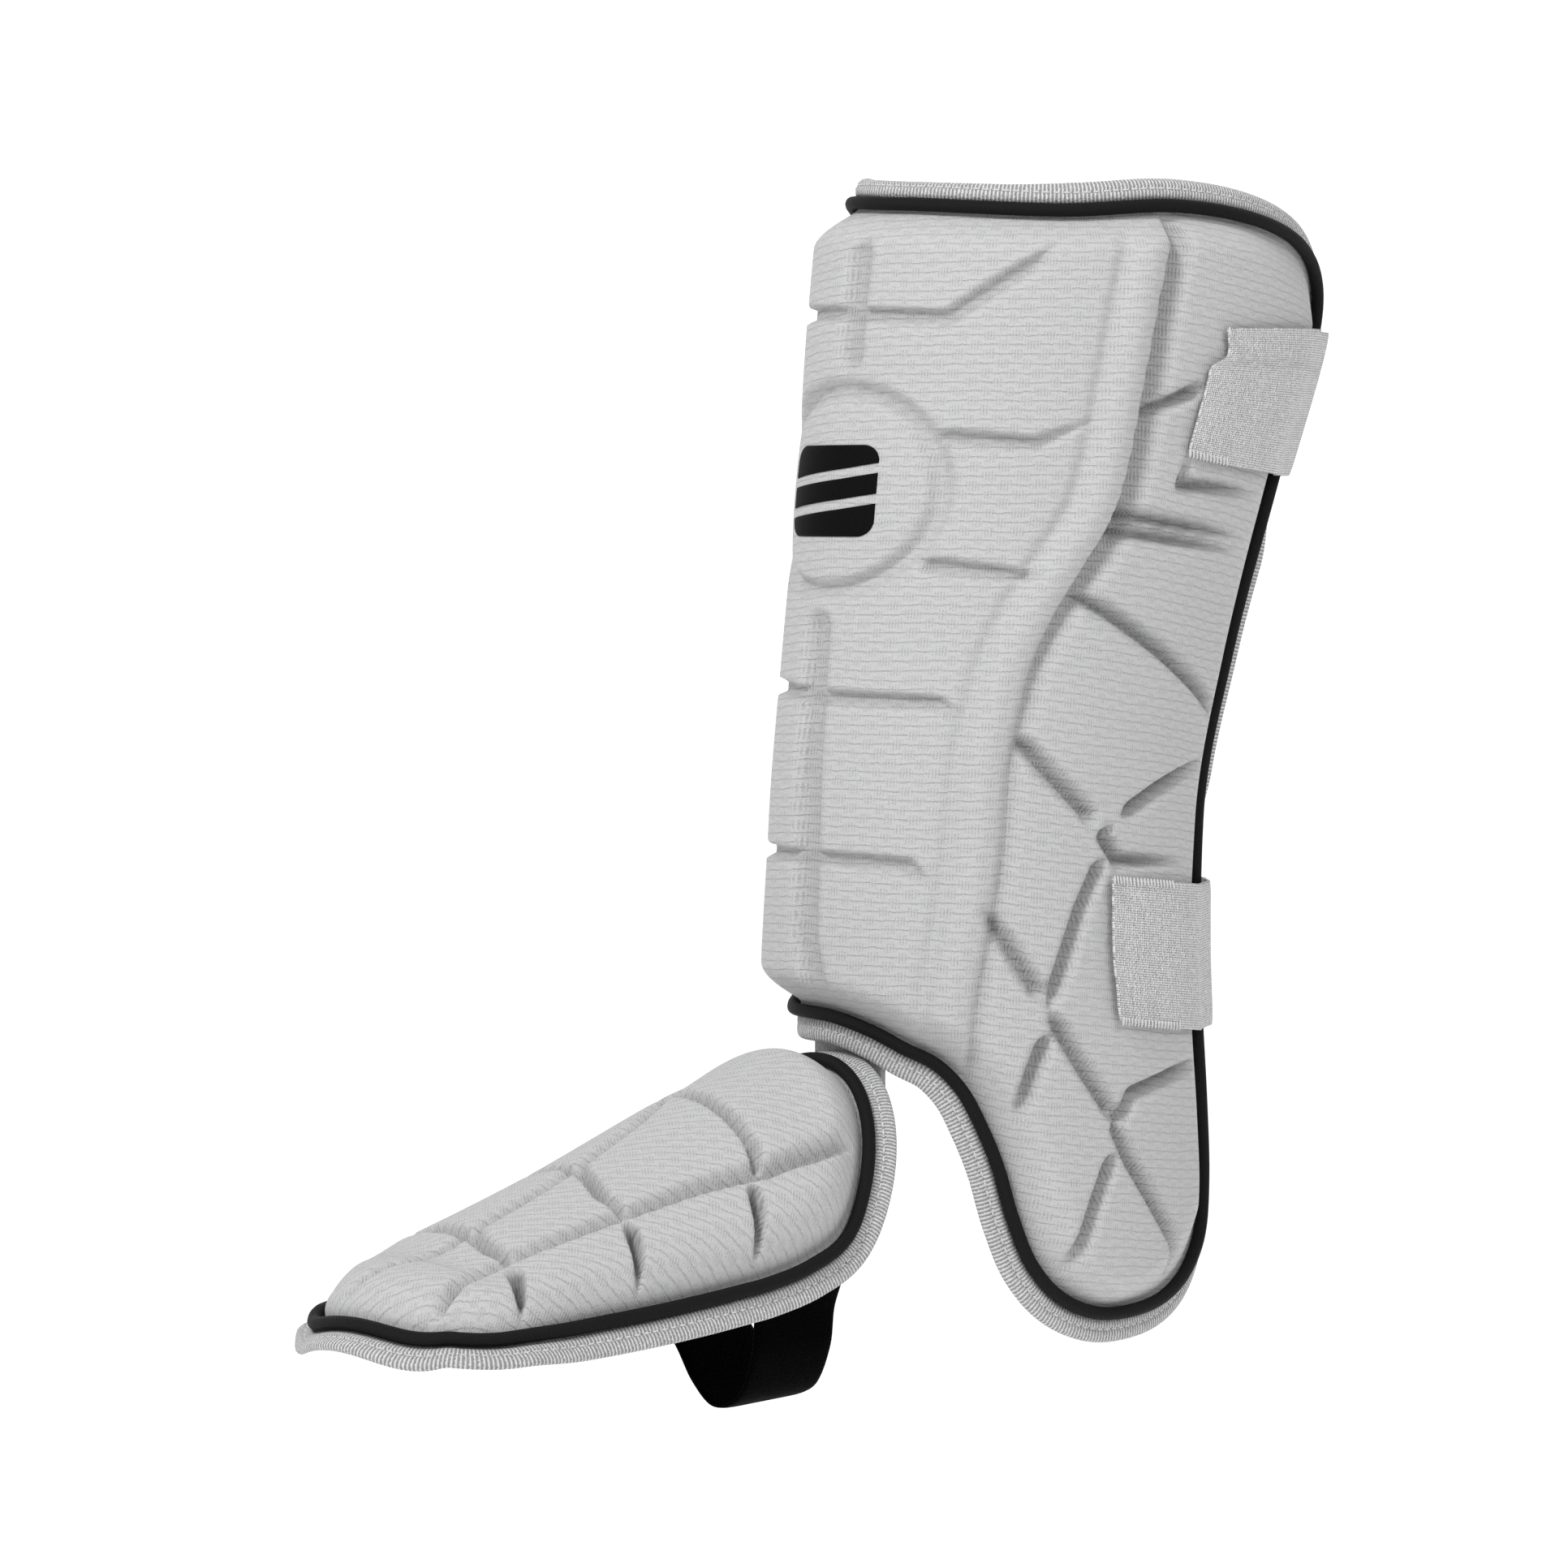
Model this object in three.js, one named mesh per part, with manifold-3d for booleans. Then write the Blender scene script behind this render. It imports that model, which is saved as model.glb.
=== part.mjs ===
// A batter's leg guard for the left leg: a moulded shin piece with an ankle lobe on the
// outer side, and a foot piece over the instep, joined behind the ankle fold.
// Millimetres, +Z up, toes towards -Y, outer side of the leg towards +X.
// The origin is on the leg's axis, level with the bottom of the shin piece's front.
import * as THREE from 'three';
import Module from 'manifold-3d';

const wasm = await Module();
wasm.setup();

// Padding, seams and clearances
const PAD = 14;              // thickness of the moulded padding
const GROOVE_FLOOR = 8;      // padding left under a pressed groove
const FLANGE = 1.8;          // flat stitched edge that carries the piping
const SHOULDER = 12;         // width over which the padding rounds down to the flange
const TOE_SHOULDER = 24;     // the same towards the toe of the foot piece
const REAR_SHOULDER = 46;    // the same towards the rear edge of the outer side
const PIPING = 4.6;          // diameter of the black piping
const BINDING_WIDTH = 6.6;   // grosgrain tape folded over the edge
const BINDING_THICKNESS = 3;
const TOP_FOLD = 64;         // degrees by which the top edge's tape leans in over the leg
const GAP = 0.3;             // clearance between pieces that touch

// Shin piece
const SHIN_HEIGHT = 256;     // origin level to the top seam
const LOBE_DROP = 86;        // origin level down to the seam of the ankle lobe
const CALF_SWEEP = 40;       // how far the top stands behind the ankle
const SHIN_FRONT = 66;       // leg axis to the inner face at the front, at full scale
const FRONT_SHIFT = 3;
const FRONT_FACING = 6;      // degrees by which the front line faces outwards
const OUTER_BEND = 68;       // radius of the section's bend on the outer side
const OUTER_FLANK = 128;     // radius of the flatter run behind it
const INNER_BEND = 30;
const INNER_FLANK = 83;
const OUTER_ARCS = [{ radius: OUTER_BEND, turn: 72 }, { radius: OUTER_FLANK, turn: 38 }];
const INNER_ARCS = [{ radius: INNER_BEND, turn: 48 }, { radius: INNER_FLANK, turn: 22 }];

// Foot piece
const FOOT_LENGTH = 180;     // rear seam to toe seam
const FOOT_FALL = 57.5;      // rear seam down to the toe
const FOOT_HALF_WIDTH = 46.5;
const FOOT_WRAP = 41;        // how far the sides hang below the ridge
const FOOT_TURN = 65;        // degrees from the ridge to the hem
const FOOT_OFFSET = 3;       // the foot's middle line lies this far outwards
const FOOT_SETBACK = 4.2;    // rear seam ahead of the shin's inner face
const FOOT_BELOW = 8;        // rear seam below the shin's binding

// Pressed relief
const GROOVE_WIDTH = 8;
const STROKE_WIDTH = 5.5;    // the narrower grooves of the outer side
const GROOVE_BED = 1.6;      // width of a groove's floor
const WELT_WIDTH = 11;       // raised rib between the front and the outer side
const WELT_RISE = 2.2;
const BOSS_RADIUS = 28;
const BOSS_RISE = 2.2;
const BOSS_GROOVE = 7;
const GROOVE_STEP = 20;      // longest straight span of a groove's sweep
const WELT_STEP = 24;

// Straps
const STRAP_WIDTH = 46;
const STRAP_THICKNESS = 2;
const STRAP_LAP = 20;        // length sewn to the inner face on the far side
const STRAP_BULGE = 26;      // how far a strap bows behind the straight way round
const UPPER_STRAP_HEIGHT = 197;
const LOWER_STRAP_HEIGHT = 25;
const UPPER_STRAP_END = 0.6; // free end, as a share of the way to the rear edge
const LOWER_STRAP_END = 0.56;
const LOWER_STRAP_TILT = 7;  // rise from the rear edge to the free end
const STIRRUP_WIDTH = 31;
const STIRRUP_THICKNESS = 2;
const STIRRUP_BACK = 48.5;   // middle of the stirrup ahead of the foot's rear seam
const STIRRUP_DEPTH = 40;    // how far the stirrup hangs below the foot's hem
const TAB_HALF_SPAN = 15;    // hidden tab that joins the two pieces
const TAB_OFFSET = 1;        // its middle line lies this far outwards
const TAB_THICKNESS = 2;
const TAB_RISE = 34;

// Heights are shares of SHIN_HEIGHT above the origin and of LOBE_DROP below it.
// scale is the section's size, sweep a share of CALF_SWEEP, reach a share of the outer arc.
const SHIN_ROWS = [
  { height: -1.22, scale: 0.87, sweep: 0, reach: 1.02 },
  { height: -0.52, scale: 0.86, sweep: 0, reach: 1.03 },
  { height: 0.055, scale: 0.83, sweep: 0, reach: 1.02 },
  { height: 0.258, scale: 0.81, sweep: 0.05, reach: 1.045 },
  { height: 0.461, scale: 0.855, sweep: 0.275, reach: 1.025 },
  { height: 0.664, scale: 0.93, sweep: 0.575, reach: 0.995 },
  { height: 0.871, scale: 1.0, sweep: 0.825, reach: 1.03 },
  { height: 1.035, scale: 1.025, sweep: 1.0, reach: 1.03 },
];

// Along is a share of FOOT_LENGTH from the rear seam, fall of FOOT_FALL,
// width of FOOT_HALF_WIDTH and wrap of FOOT_WRAP.
const FOOT_ROWS = [
  { along: -0.1, fall: -0.13, width: 0.99, wrap: 0.98 },
  { along: 0, fall: 0, width: 1.0, wrap: 1.0 },
  { along: 0.135, fall: 0.17, width: 1.0, wrap: 1.0 },
  { along: 0.27, fall: 0.32, width: 0.97, wrap: 0.8 },
  { along: 0.5, fall: 0.596, width: 0.91, wrap: 0.514 },
  { along: 0.715, fall: 0.821, width: 0.812, wrap: 0.278 },
  { along: 0.84, fall: 0.961, width: 0.762, wrap: 0.121 },
  { along: 0.92, fall: 0.971, width: 0.713, wrap: 0.15 },
  { along: 1.0, fall: 1.044, width: 0.617, wrap: 0.35 },
  { along: 1.05, fall: 1.244, width: 0.587, wrap: 0.31 },
];

// The shin's seam, once round: across is a share of the arc on its side of the front line.
const SHIN_SEAM = [
  { across: -0.5, height: 0.031 }, { across: 0.01, height: 0.031 },
  { across: 0.11, height: 0.016 }, { across: 0.18, height: -0.01 },
  { across: 0.24, height: -0.06 }, { across: 0.29, height: -0.15 },
  { across: 0.33, height: -0.29 }, { across: 0.36, height: -0.43 },
  { across: 0.39, height: -0.62 }, { across: 0.43, height: -0.79 },
  { across: 0.49, height: -0.91 }, { across: 0.58, height: -0.985 },
  { across: 0.69, height: -1.0 }, { across: 0.8, height: -0.975 },
  { across: 0.9, height: -0.9 }, { across: 0.975, height: -0.78 },
  { across: 1.0, height: -0.6 }, { across: 1.0, height: -0.3 },
  { across: 1.0, height: 0.05 }, { across: 1.0, height: 0.2 },
  { across: 1.0, height: 0.35 }, { across: 1.0, height: 0.5 },
  { across: 1.0, height: 0.6 }, { across: 1.0, height: 0.7 },
  { across: 1.0, height: 0.78 }, { across: 1.0, height: 0.86 },
  { across: 0.98, height: 0.9 }, { across: 0.93, height: 0.934 },
  { across: 0.84, height: 0.965 }, { across: 0.7, height: 0.988 },
  { across: 0.5, height: 1.0 }, { across: 0.3, height: 0.992 },
  { across: 0.02, height: 1.004 }, { across: -0.5, height: 1.012 },
  { across: -0.82, height: 1.0 }, { across: -0.96, height: 0.96 },
  { across: -1.0, height: 0.88 }, { across: -1.0, height: 0.7 },
  { across: -1.0, height: 0.5 }, { across: -1.0, height: 0.3 },
  { across: -1.0, height: 0.15 }, { across: -0.96, height: 0.08 },
  { across: -0.82, height: 0.042 },
];

const BOSS_PLACE = { across: -0.06, height: 0.66 };

// Grooves of the front, each a chain of across and height shares
const FRONT_GROOVES = [
  [[-0.01, 0.965], [-0.02, 0.875], [-0.01, 0.8]],
  [[-0.07, 0.52], [-0.06, 0.43], [-0.04, 0.34], [-0.02, 0.245], [0, 0.125], [0.03, 0.045]],
  [[-0.93, 0.875], [-0.3, 0.875], [0.15, 0.863], [0.27, 0.93], [0.31, 0.96]],
  [[0.15, 0.724], [0.31, 0.715], [0.4, 0.746]],
  [[0.19, 0.57], [0.34, 0.559]],
  [[-0.93, 0.6], [-0.6, 0.6]],
  [[-0.93, 0.422], [-0.35, 0.422], [-0.01, 0.414], [0.21, 0.41], [0.26, 0.39]],
  [[-0.93, 0.223], [-0.28, 0.223], [0.02, 0.223], [0.18, 0.219], [0.23, 0.195]],
];

// Narrow strokes of the outer side
const SIDE_STROKES = [
  [[0.48, 0.754], [0.57, 0.781]],
  [[0.59, 0.7], [0.59, 0.668], [0.79, 0.66]],
  [[0.46, 0.633], [0.78, 0.606]],
  [[0.46, 0.613], [0.77, 0.588]],
  [[0.41, 0.539], [0.46, 0.523], [0.62, 0.469], [0.75, 0.422], [0.83, 0.391]],
  [[0.35, 0.371], [0.42, 0.324], [0.52, 0.266]],
  [[0.82, 0.336], [0.67, 0.301], [0.58, 0.273], [0.54, 0.25], [0.58, 0.219], [0.76, 0.211]],
  [[0.32, 0.168], [0.36, 0.129], [0.42, 0.07]],
  [[0.54, 0.223], [0.5, 0.168], [0.47, 0.102], [0.44, 0.045]],
  [[0.44, 0.045], [0.51, -0.081], [0.57, -0.244]],
  [[0.44, 0.02], [0.41, -0.081], [0.38, -0.22]],
  [[0.84, -0.105], [0.68, -0.163], [0.62, -0.186], [0.58, -0.302], [0.61, -0.419],
    [0.67, -0.581], [0.73, -0.733], [0.76, -0.86]],
  [[0.57, -0.407], [0.53, -0.558], [0.5, -0.709], [0.47, -0.837]],
];

// The stirrup below the hem: across is a share of FOOT_HALF_WIDTH, depth of STIRRUP_DEPTH
const STIRRUP_SAG = [
  [0.86, 0.3], [0.82, 0.6], [0.67, 0.92], [0.45, 1.0], [0.26, 0.86], [0.08, 0.6], [-0.3, 0.22],
];

const WELT_LINE = [
  [0.44, 0.985], [0.43, 0.895], [0.43, 0.797], [0.43, 0.645], [0.39, 0.578], [0.35, 0.52],
  [0.32, 0.457], [0.31, 0.406], [0.3, 0.348], [0.3, 0.254], [0.29, 0.156], [0.27, 0.059],
  [0.26, 0.0],
];

// Grooves of the foot: across is a share of the turn, along a share of FOOT_LENGTH
const FOOT_GROOVES = [
  [[-0.35, 0.12], [-0.14, 0.34], [-0.08, 0.5], [-0.05, 0.64], [-0.02, 0.76], [-0.06, 0.9]],
  [[0.57, 0.1], [0.57, 0.3], [0.5, 0.43], [0.46, 0.6], [0.44, 0.74], [0.53, 0.87],
    [0.66, 0.94]],
  [[-0.92, 0.28], [-0.5, 0.25], [-0.2, 0.24], [0.19, 0.27], [0.41, 0.29], [0.6, 0.32],
    [0.92, 0.4]],
  [[-0.92, 0.52], [-0.5, 0.5], [-0.08, 0.5], [0.27, 0.55], [0.47, 0.545], [0.9, 0.61]],
  [[-0.92, 0.74], [-0.5, 0.72], [-0.03, 0.73], [0.24, 0.75], [0.46, 0.75], [0.9, 0.815]],
];

const rad = THREE.MathUtils.degToRad;

// A smooth curve through one column of a table, without overshoot between its rows.
function columnCurve(xs, ys) {
  const count = xs.length;
  const steps = xs.slice(1).map((x, i) => (ys[i + 1] - ys[i]) / (x - xs[i]));
  const slopes = xs.map((x, i) => {
    if (i === 0) return steps[0];
    if (i === count - 1) return steps[count - 2];
    const [before, after] = [steps[i - 1], steps[i]];
    return before * after <= 0 ? 0 : (2 * before * after) / (before + after);
  });
  return (x) => {
    let i = 0;
    while (i < count - 2 && x > xs[i + 1]) i += 1;
    const width = xs[i + 1] - xs[i];
    if (x < xs[0]) return ys[0] + slopes[0] * (x - xs[0]);
    if (x > xs[count - 1]) return ys[count - 1] + slopes[count - 1] * (x - xs[count - 1]);
    const t = (x - xs[i]) / width;
    const rise = t * t * (3 - 2 * t);
    const early = t * (1 - t) * (1 - t) * width;
    const late = t * t * (t - 1) * width;
    return ys[i] + (ys[i + 1] - ys[i]) * rise + slopes[i] * early + slopes[i + 1] * late;
  };
}

const shinLevel = (share) => share * (share >= 0 ? SHIN_HEIGHT : LOBE_DROP);

function tableCurves(rows, key, place, sizes) {
  const xs = rows.map((row) => place(row[key]));
  const curves = {};
  for (const [name, size] of Object.entries(sizes)) {
    curves[name] = columnCurve(xs, rows.map((row) => row[name] * size));
  }
  return curves;
}

const arcsLength = (arcs) => arcs.reduce((sum, arc) => sum + arc.radius * rad(arc.turn), 0);
const OUTER_LENGTH = arcsLength(OUTER_ARCS);
const INNER_LENGTH = arcsLength(INNER_ARCS);

// Point and outward direction of the full-size shin section, at a length from its front.
function shinSection(length) {
  const arcs = length >= 0 ? OUTER_ARCS : INNER_ARCS;
  const sign = length >= 0 ? 1 : -1;
  let left = Math.abs(length);
  let facing = rad(FRONT_FACING);
  let x = FRONT_SHIFT;
  let y = -SHIN_FRONT;
  arcs.forEach((arc, i) => {
    const last = i === arcs.length - 1;
    const step = last ? left / arc.radius : Math.min(left / arc.radius, rad(arc.turn));
    x -= arc.radius * Math.sin(facing);
    y += arc.radius * Math.cos(facing);
    facing += sign * step;
    x += arc.radius * Math.sin(facing);
    y -= arc.radius * Math.cos(facing);
    left -= step * arc.radius;
  });
  return { x, y, nx: Math.sin(facing), ny: -Math.cos(facing) };
}

// A chart maps (across, along, height above the inner face) to a point of a padded piece.
const shinCurves = tableCurves(SHIN_ROWS, 'height', shinLevel,
  { scale: 1, sweep: CALF_SWEEP, reach: 1 });
const shinChart = {
  arc: (across, z) => across * (across >= 0 ? OUTER_LENGTH * shinCurves.reach(z) : INNER_LENGTH),
  point(across, z, height) {
    const section = shinSection(this.arc(across, z));
    const scale = shinCurves.scale(z);
    const x = scale * section.x + height * section.nx;
    const y = scale * section.y + shinCurves.sweep(z) + height * section.ny;
    return new THREE.Vector3(x, y, z);
  },
  place: ([across, share]) => [across, shinLevel(share)],
  flat(across, z) {
    return [this.arc(across, z) * shinCurves.scale(z), z];
  },
  unflat(length, z) {
    const arc = length / shinCurves.scale(z);
    return [arc / (arc >= 0 ? OUTER_LENGTH * shinCurves.reach(z) : INNER_LENGTH), z];
  },
  shoulder(across) {
    return SHOULDER + (REAR_SHOULDER - SHOULDER) * THREE.MathUtils.smoothstep(across, 0.6, 1);
  },
};

const SEAM_OUT = PIPING / 2 + GAP * 1.5;
const shinBindingBottom = shinLevel(SHIN_SEAM[0].height) - SEAM_OUT - BINDING_WIDTH;
const FOOT_REAR_Y = shinChart.point(0, 0, 0).y - FOOT_SETBACK;
const FOOT_REAR_Z = shinBindingBottom - FOOT_BELOW;

const footCurves = tableCurves(FOOT_ROWS, 'along', (share) => share * FOOT_LENGTH,
  { fall: FOOT_FALL, width: FOOT_HALF_WIDTH, wrap: FOOT_WRAP });
const footSurface = (across, back) => {
  const forward = -back;
  const turn = rad(FOOT_TURN);
  const side = Math.sin(across * turn) / Math.sin(turn);
  const hang = (1 - Math.cos(across * turn)) / (1 - Math.cos(turn));
  return new THREE.Vector3(
    FOOT_OFFSET + footCurves.width(forward) * side,
    FOOT_REAR_Y - forward,
    FOOT_REAR_Z - footCurves.fall(forward) - footCurves.wrap(forward) * hang,
  );
};
// Along the foot the chart counts backwards from the rear seam, so it is below zero.
const footChart = {
  point(across, back, height) {
    const [da, db] = [0.01, 0.5];
    const sideways = footSurface(across + da, back).sub(footSurface(across - da, back));
    const backwards = footSurface(across, back + db).sub(footSurface(across, back - db));
    const normal = sideways.cross(backwards).normalize();
    return footSurface(across, back).addScaledVector(normal, height);
  },
  place: ([across, share]) => [across, -share * FOOT_LENGTH],
  flat(across, back) {
    return [across * footCurves.width(-back) * rad(FOOT_TURN), back];
  },
  unflat(length, back) {
    return [length / (footCurves.width(-back) * rad(FOOT_TURN)), back];
  },
  shoulder(across, back) {
    const share = THREE.MathUtils.smoothstep(-back / FOOT_LENGTH, 0.72, 0.95);
    return SHOULDER + (TOE_SHOULDER - SHOULDER) * share;
  },
};

function chartNormal(chart, across, along) {
  return chart.point(across, along, 1).sub(chart.point(across, along, 0)).normalize();
}

// The seam of a piece as evenly spaced chart places, counter-clockwise from outside.
function seamLoop(chart, places, count) {
  const points = places.map((place) => new THREE.Vector3(...chart.flat(...place), 0));
  const curve = new THREE.CatmullRomCurve3(points, true, 'centripetal');
  curve.arcLengthDivisions = 1200;
  return curve.getSpacedPoints(count).slice(0, count).map((p) => chart.unflat(p.x, p.y));
}

function footSeamPlaces() {
  const rearEnd = 0.36;
  const toeStart = 0.84;
  const toeEnd = 0.98;
  const toeSkew = 0.015;
  const places = [];
  for (let angle = -90; angle <= 90; angle += 15) {
    const x = Math.sin(rad(angle));
    const along = toeStart + (toeEnd - toeStart) * Math.cos(rad(angle)) - toeSkew * x;
    places.push([x, -along * FOOT_LENGTH]);
  }
  for (const share of [0.7, 0.55, 0.42]) places.push([1, -share * FOOT_LENGTH]);
  for (let angle = 90; angle >= -90; angle -= 15) {
    const x = Math.sin(rad(angle));
    places.push([x, -rearEnd * (1 - Math.cos(rad(angle))) * FOOT_LENGTH]);
  }
  for (const share of [0.42, 0.55, 0.7]) places.push([-1, -share * FOOT_LENGTH]);
  return places;
}

// Closed mesh from rings of points that follow each other; ends are capped if open.
function ringMesh(rings, closed) {
  const size = rings[0].length;
  const positions = rings.flat().flatMap((p) => [p.x, p.y, p.z]);
  const index = [];
  const spans = closed ? rings.length : rings.length - 1;
  for (let i = 0; i < spans; i += 1) {
    const near = i * size;
    const far = ((i + 1) % rings.length) * size;
    for (let j = 0; j < size; j += 1) {
      const k = (j + 1) % size;
      index.push(near + j, far + j, near + k, near + k, far + j, far + k);
    }
  }
  if (!closed) {
    const end = (rings.length - 1) * size;
    for (let j = 1; j < size - 1; j += 1) {
      index.push(0, j, j + 1, end, end + j + 1, end + j);
    }
  }
  return facingOut(positions, index);
}

// Closed mesh between two grids of points, the upper one on the outer face.
function slabMesh(upper, lower) {
  const rows = upper.length;
  const columns = upper[0].length;
  const positions = [...upper.flat(), ...lower.flat()].flatMap((p) => [p.x, p.y, p.z]);
  const under = rows * columns;
  const index = [];
  const quad = (a, b, c, d) => index.push(a, b, c, a, c, d);
  for (let r = 0; r < rows - 1; r += 1) {
    for (let c = 0; c < columns - 1; c += 1) {
      const a = r * columns + c;
      quad(a, a + 1, a + columns + 1, a + columns);
      quad(under + a, under + a + columns, under + a + columns + 1, under + a + 1);
    }
  }
  for (let c = 0; c < columns - 1; c += 1) {
    const last = (rows - 1) * columns + c;
    quad(c, under + c, under + c + 1, c + 1);
    quad(last + 1, under + last + 1, under + last, last);
  }
  for (let r = 0; r < rows - 1; r += 1) {
    const first = r * columns;
    const last = first + columns - 1;
    quad(first + columns, under + first + columns, under + first, first);
    quad(last, under + last, under + last + columns, last + columns);
  }
  return facingOut(positions, index);
}

function facingOut(positions, index) {
  let volume = 0;
  const at = (i) => new THREE.Vector3().fromArray(positions, i * 3);
  for (let i = 0; i < index.length; i += 3) {
    volume += at(index[i]).dot(at(index[i + 1]).cross(at(index[i + 2])));
  }
  const turned = [];
  for (let i = 0; i < index.length; i += 3) turned.push(index[i], index[i + 2], index[i + 1]);
  return { positions, index: volume < 0 ? turned : index };
}

function solidOf({ positions, index }) {
  return new wasm.Manifold(new wasm.Mesh({
    numProp: 3,
    vertProperties: new Float32Array(positions),
    triVerts: new Uint32Array(index),
  }));
}

// A section swept along chart places: its points are [outwards, height above the face].
function sweepOn(chart, places, section, closed) {
  const count = places.length;
  const centres = places.map(([a, b]) => chart.point(a, b, 0));
  const rings = places.map(([a, b], i) => {
    const before = closed ? (i + count - 1) % count : Math.max(i - 1, 0);
    const after = closed ? (i + 1) % count : Math.min(i + 1, count - 1);
    const along = centres[after].clone().sub(centres[before]);
    const normal = chartNormal(chart, a, b);
    const out = along.cross(normal).normalize();
    const shape = typeof section === 'function' ? section(i / (count - 1), out) : section;
    return shape.map(([o, h]) => centres[i].clone().addScaledVector(out, o)
      .addScaledVector(normal, h));
  });
  return ringMesh(rings, closed);
}

// Chart places along a chain of corners, no further apart than the step.
function chain(chart, corners, step) {
  const places = corners.map(chart.place);
  const result = [places[0]];
  for (let i = 1; i < places.length; i += 1) {
    const [a, b] = [places[i - 1], places[i]];
    const length = chart.point(...a, 0).distanceTo(chart.point(...b, 0));
    const parts = Math.max(1, Math.ceil(length / step));
    for (let j = 1; j <= parts; j += 1) {
      const t = j / parts;
      result.push([a[0] + (b[0] - a[0]) * t, a[1] + (b[1] - a[1]) * t]);
    }
  }
  return result;
}

const paddingHeight = (inside, shoulder) => {
  const t = THREE.MathUtils.clamp((inside - PIPING / 2) / shoulder, 0, 1);
  return FLANGE + (PAD - FLANGE) * Math.sin(t * Math.PI / 2);
};

// Lowest and highest place of a flat outline at one column.
function outlineSpan(chart, outline, column) {
  const crossings = [];
  outline.forEach((p, i) => {
    const q = outline[(i + 1) % outline.length];
    const [a, along] = chart.unflat(p.x, p.y);
    const [b, next] = chart.unflat(q.x, q.y);
    if ((a - column) * (b - column) <= 0 && a !== b) {
      crossings.push(along + (next - along) * ((column - a) / (b - a)));
    }
  });
  return [Math.min(...crossings), Math.max(...crossings)];
}

// The padded body of a piece, a little past its seam, before the flange is cut.
function paddedBody(chart, loop, columns, rows) {
  const seam = loop.map((place) => new THREE.Vector2(...chart.flat(...place)));
  const spare = PIPING;
  const outline = seam.map((p, i) => {
    const along = seam[(i + 1) % seam.length].clone()
      .sub(seam[(i + seam.length - 1) % seam.length]).normalize();
    return new THREE.Vector2(p.x + along.y * spare, p.y - along.x * spare);
  });
  const upper = [];
  const lower = [];
  for (const column of columns) {
    const inside = Math.abs(column) < 1;
    const [bottom, top] = outlineSpan(chart, outline, THREE.MathUtils.clamp(column, -0.96, 0.96));
    const steps = [0, spare * 1.6, spare * 2.5, spare * 4];
    const levels = steps.map((step) => bottom + step);
    const middle = top - bottom - 2 * steps[3];
    for (let i = 1; i < rows; i += 1) levels.push(bottom + steps[3] + middle * (i / rows));
    levels.push(...steps.map((step) => top - step).reverse());
    upper.push(levels.map((along, i) => {
      const within = inside && i > 0 && i < levels.length - 1;
      const here = new THREE.Vector2(...chart.flat(column, along));
      const depth = seam.reduce((least, p) => Math.min(least, p.distanceTo(here)), Infinity);
      const height = paddingHeight(within ? depth : 0, chart.shoulder(column, along));
      return chart.point(column, along, height);
    }));
    lower.push(levels.map((along) => chart.point(column, along, 0)));
  }
  return solidOf(slabMesh(upper, lower));
}

// Cuts the flange down to its thickness along the seam, trims the edge outside it and
// drops the offcuts of the corners.
function trimmed(chart, body, loop) {
  const top = PAD * 2;
  const inside = -(PIPING / 2 + GAP);
  const section = [
    [inside, FLANGE], [PIPING / 2, FLANGE], [PIPING / 2, -PAD], [PIPING * 4, -PAD],
    [PIPING * 4, top], [inside, top],
  ];
  const pieces = body.subtract(solidOf(sweepOn(chart, loop, section, true))).decompose();
  return pieces.reduce((most, piece) => (piece.volume() > most.volume() ? piece : most));
}

function grooveSection(width, taper) {
  return (t) => {
    const ends = taper ? Math.min(1, 0.35 + 4 * Math.min(t, 1 - t)) : 1;
    const floor = PAD - (PAD - GROOVE_FLOOR) * ends;
    const rise = PAD;
    const half = width / 2;
    const bed = (GROOVE_BED / 2) * ends;
    const spread = (half - bed) / (PAD - GROOVE_FLOOR);
    const wide = bed + spread * (PAD + rise - floor);
    return [[-bed, floor], [bed, floor], [wide, PAD + rise], [-wide, PAD + rise]];
  };
}

function withGrooves(chart, body, lines, width, taper) {
  return lines.reduce((solid, line) => {
    const places = chain(chart, line, GROOVE_STEP);
    return solid.subtract(solidOf(sweepOn(chart, places, grooveSection(width, taper), false)));
  }, body);
}

// The raised disc on the front and the ring pressed round it.
function bossPlaces(radius, count) {
  const [across, level] = shinChart.place([BOSS_PLACE.across, BOSS_PLACE.height]);
  const [u, v] = shinChart.flat(across, level);
  const places = [];
  for (let i = 0; i < count; i += 1) {
    const angle = (2 * Math.PI * i) / count;
    places.push(shinChart.unflat(u + radius * Math.cos(angle), v + radius * Math.sin(angle)));
  }
  return places;
}

function withBoss(body) {
  const count = 20;
  const ringRadius = BOSS_RADIUS + BOSS_GROOVE / 2;
  const cut = solidOf(sweepOn(shinChart, bossPlaces(ringRadius, count),
    grooveSection(BOSS_GROOVE, false)(0.5), true));
  const steps = [
    [BOSS_RADIUS * 0.98, GROOVE_FLOOR], [BOSS_RADIUS, PAD * 0.8], [BOSS_RADIUS * 0.95, PAD],
    [BOSS_RADIUS * 0.8, PAD + BOSS_RISE * 0.8], [BOSS_RADIUS * 0.5, PAD + BOSS_RISE],
    [BOSS_RADIUS * 0.05, PAD + BOSS_RISE],
  ];
  const rings = steps.map(([radius, height]) => bossPlaces(radius, count)
    .map(([a, b]) => shinChart.point(a, b, height)));
  return body.subtract(cut).add(solidOf(ringMesh(rings, false)));
}

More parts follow.
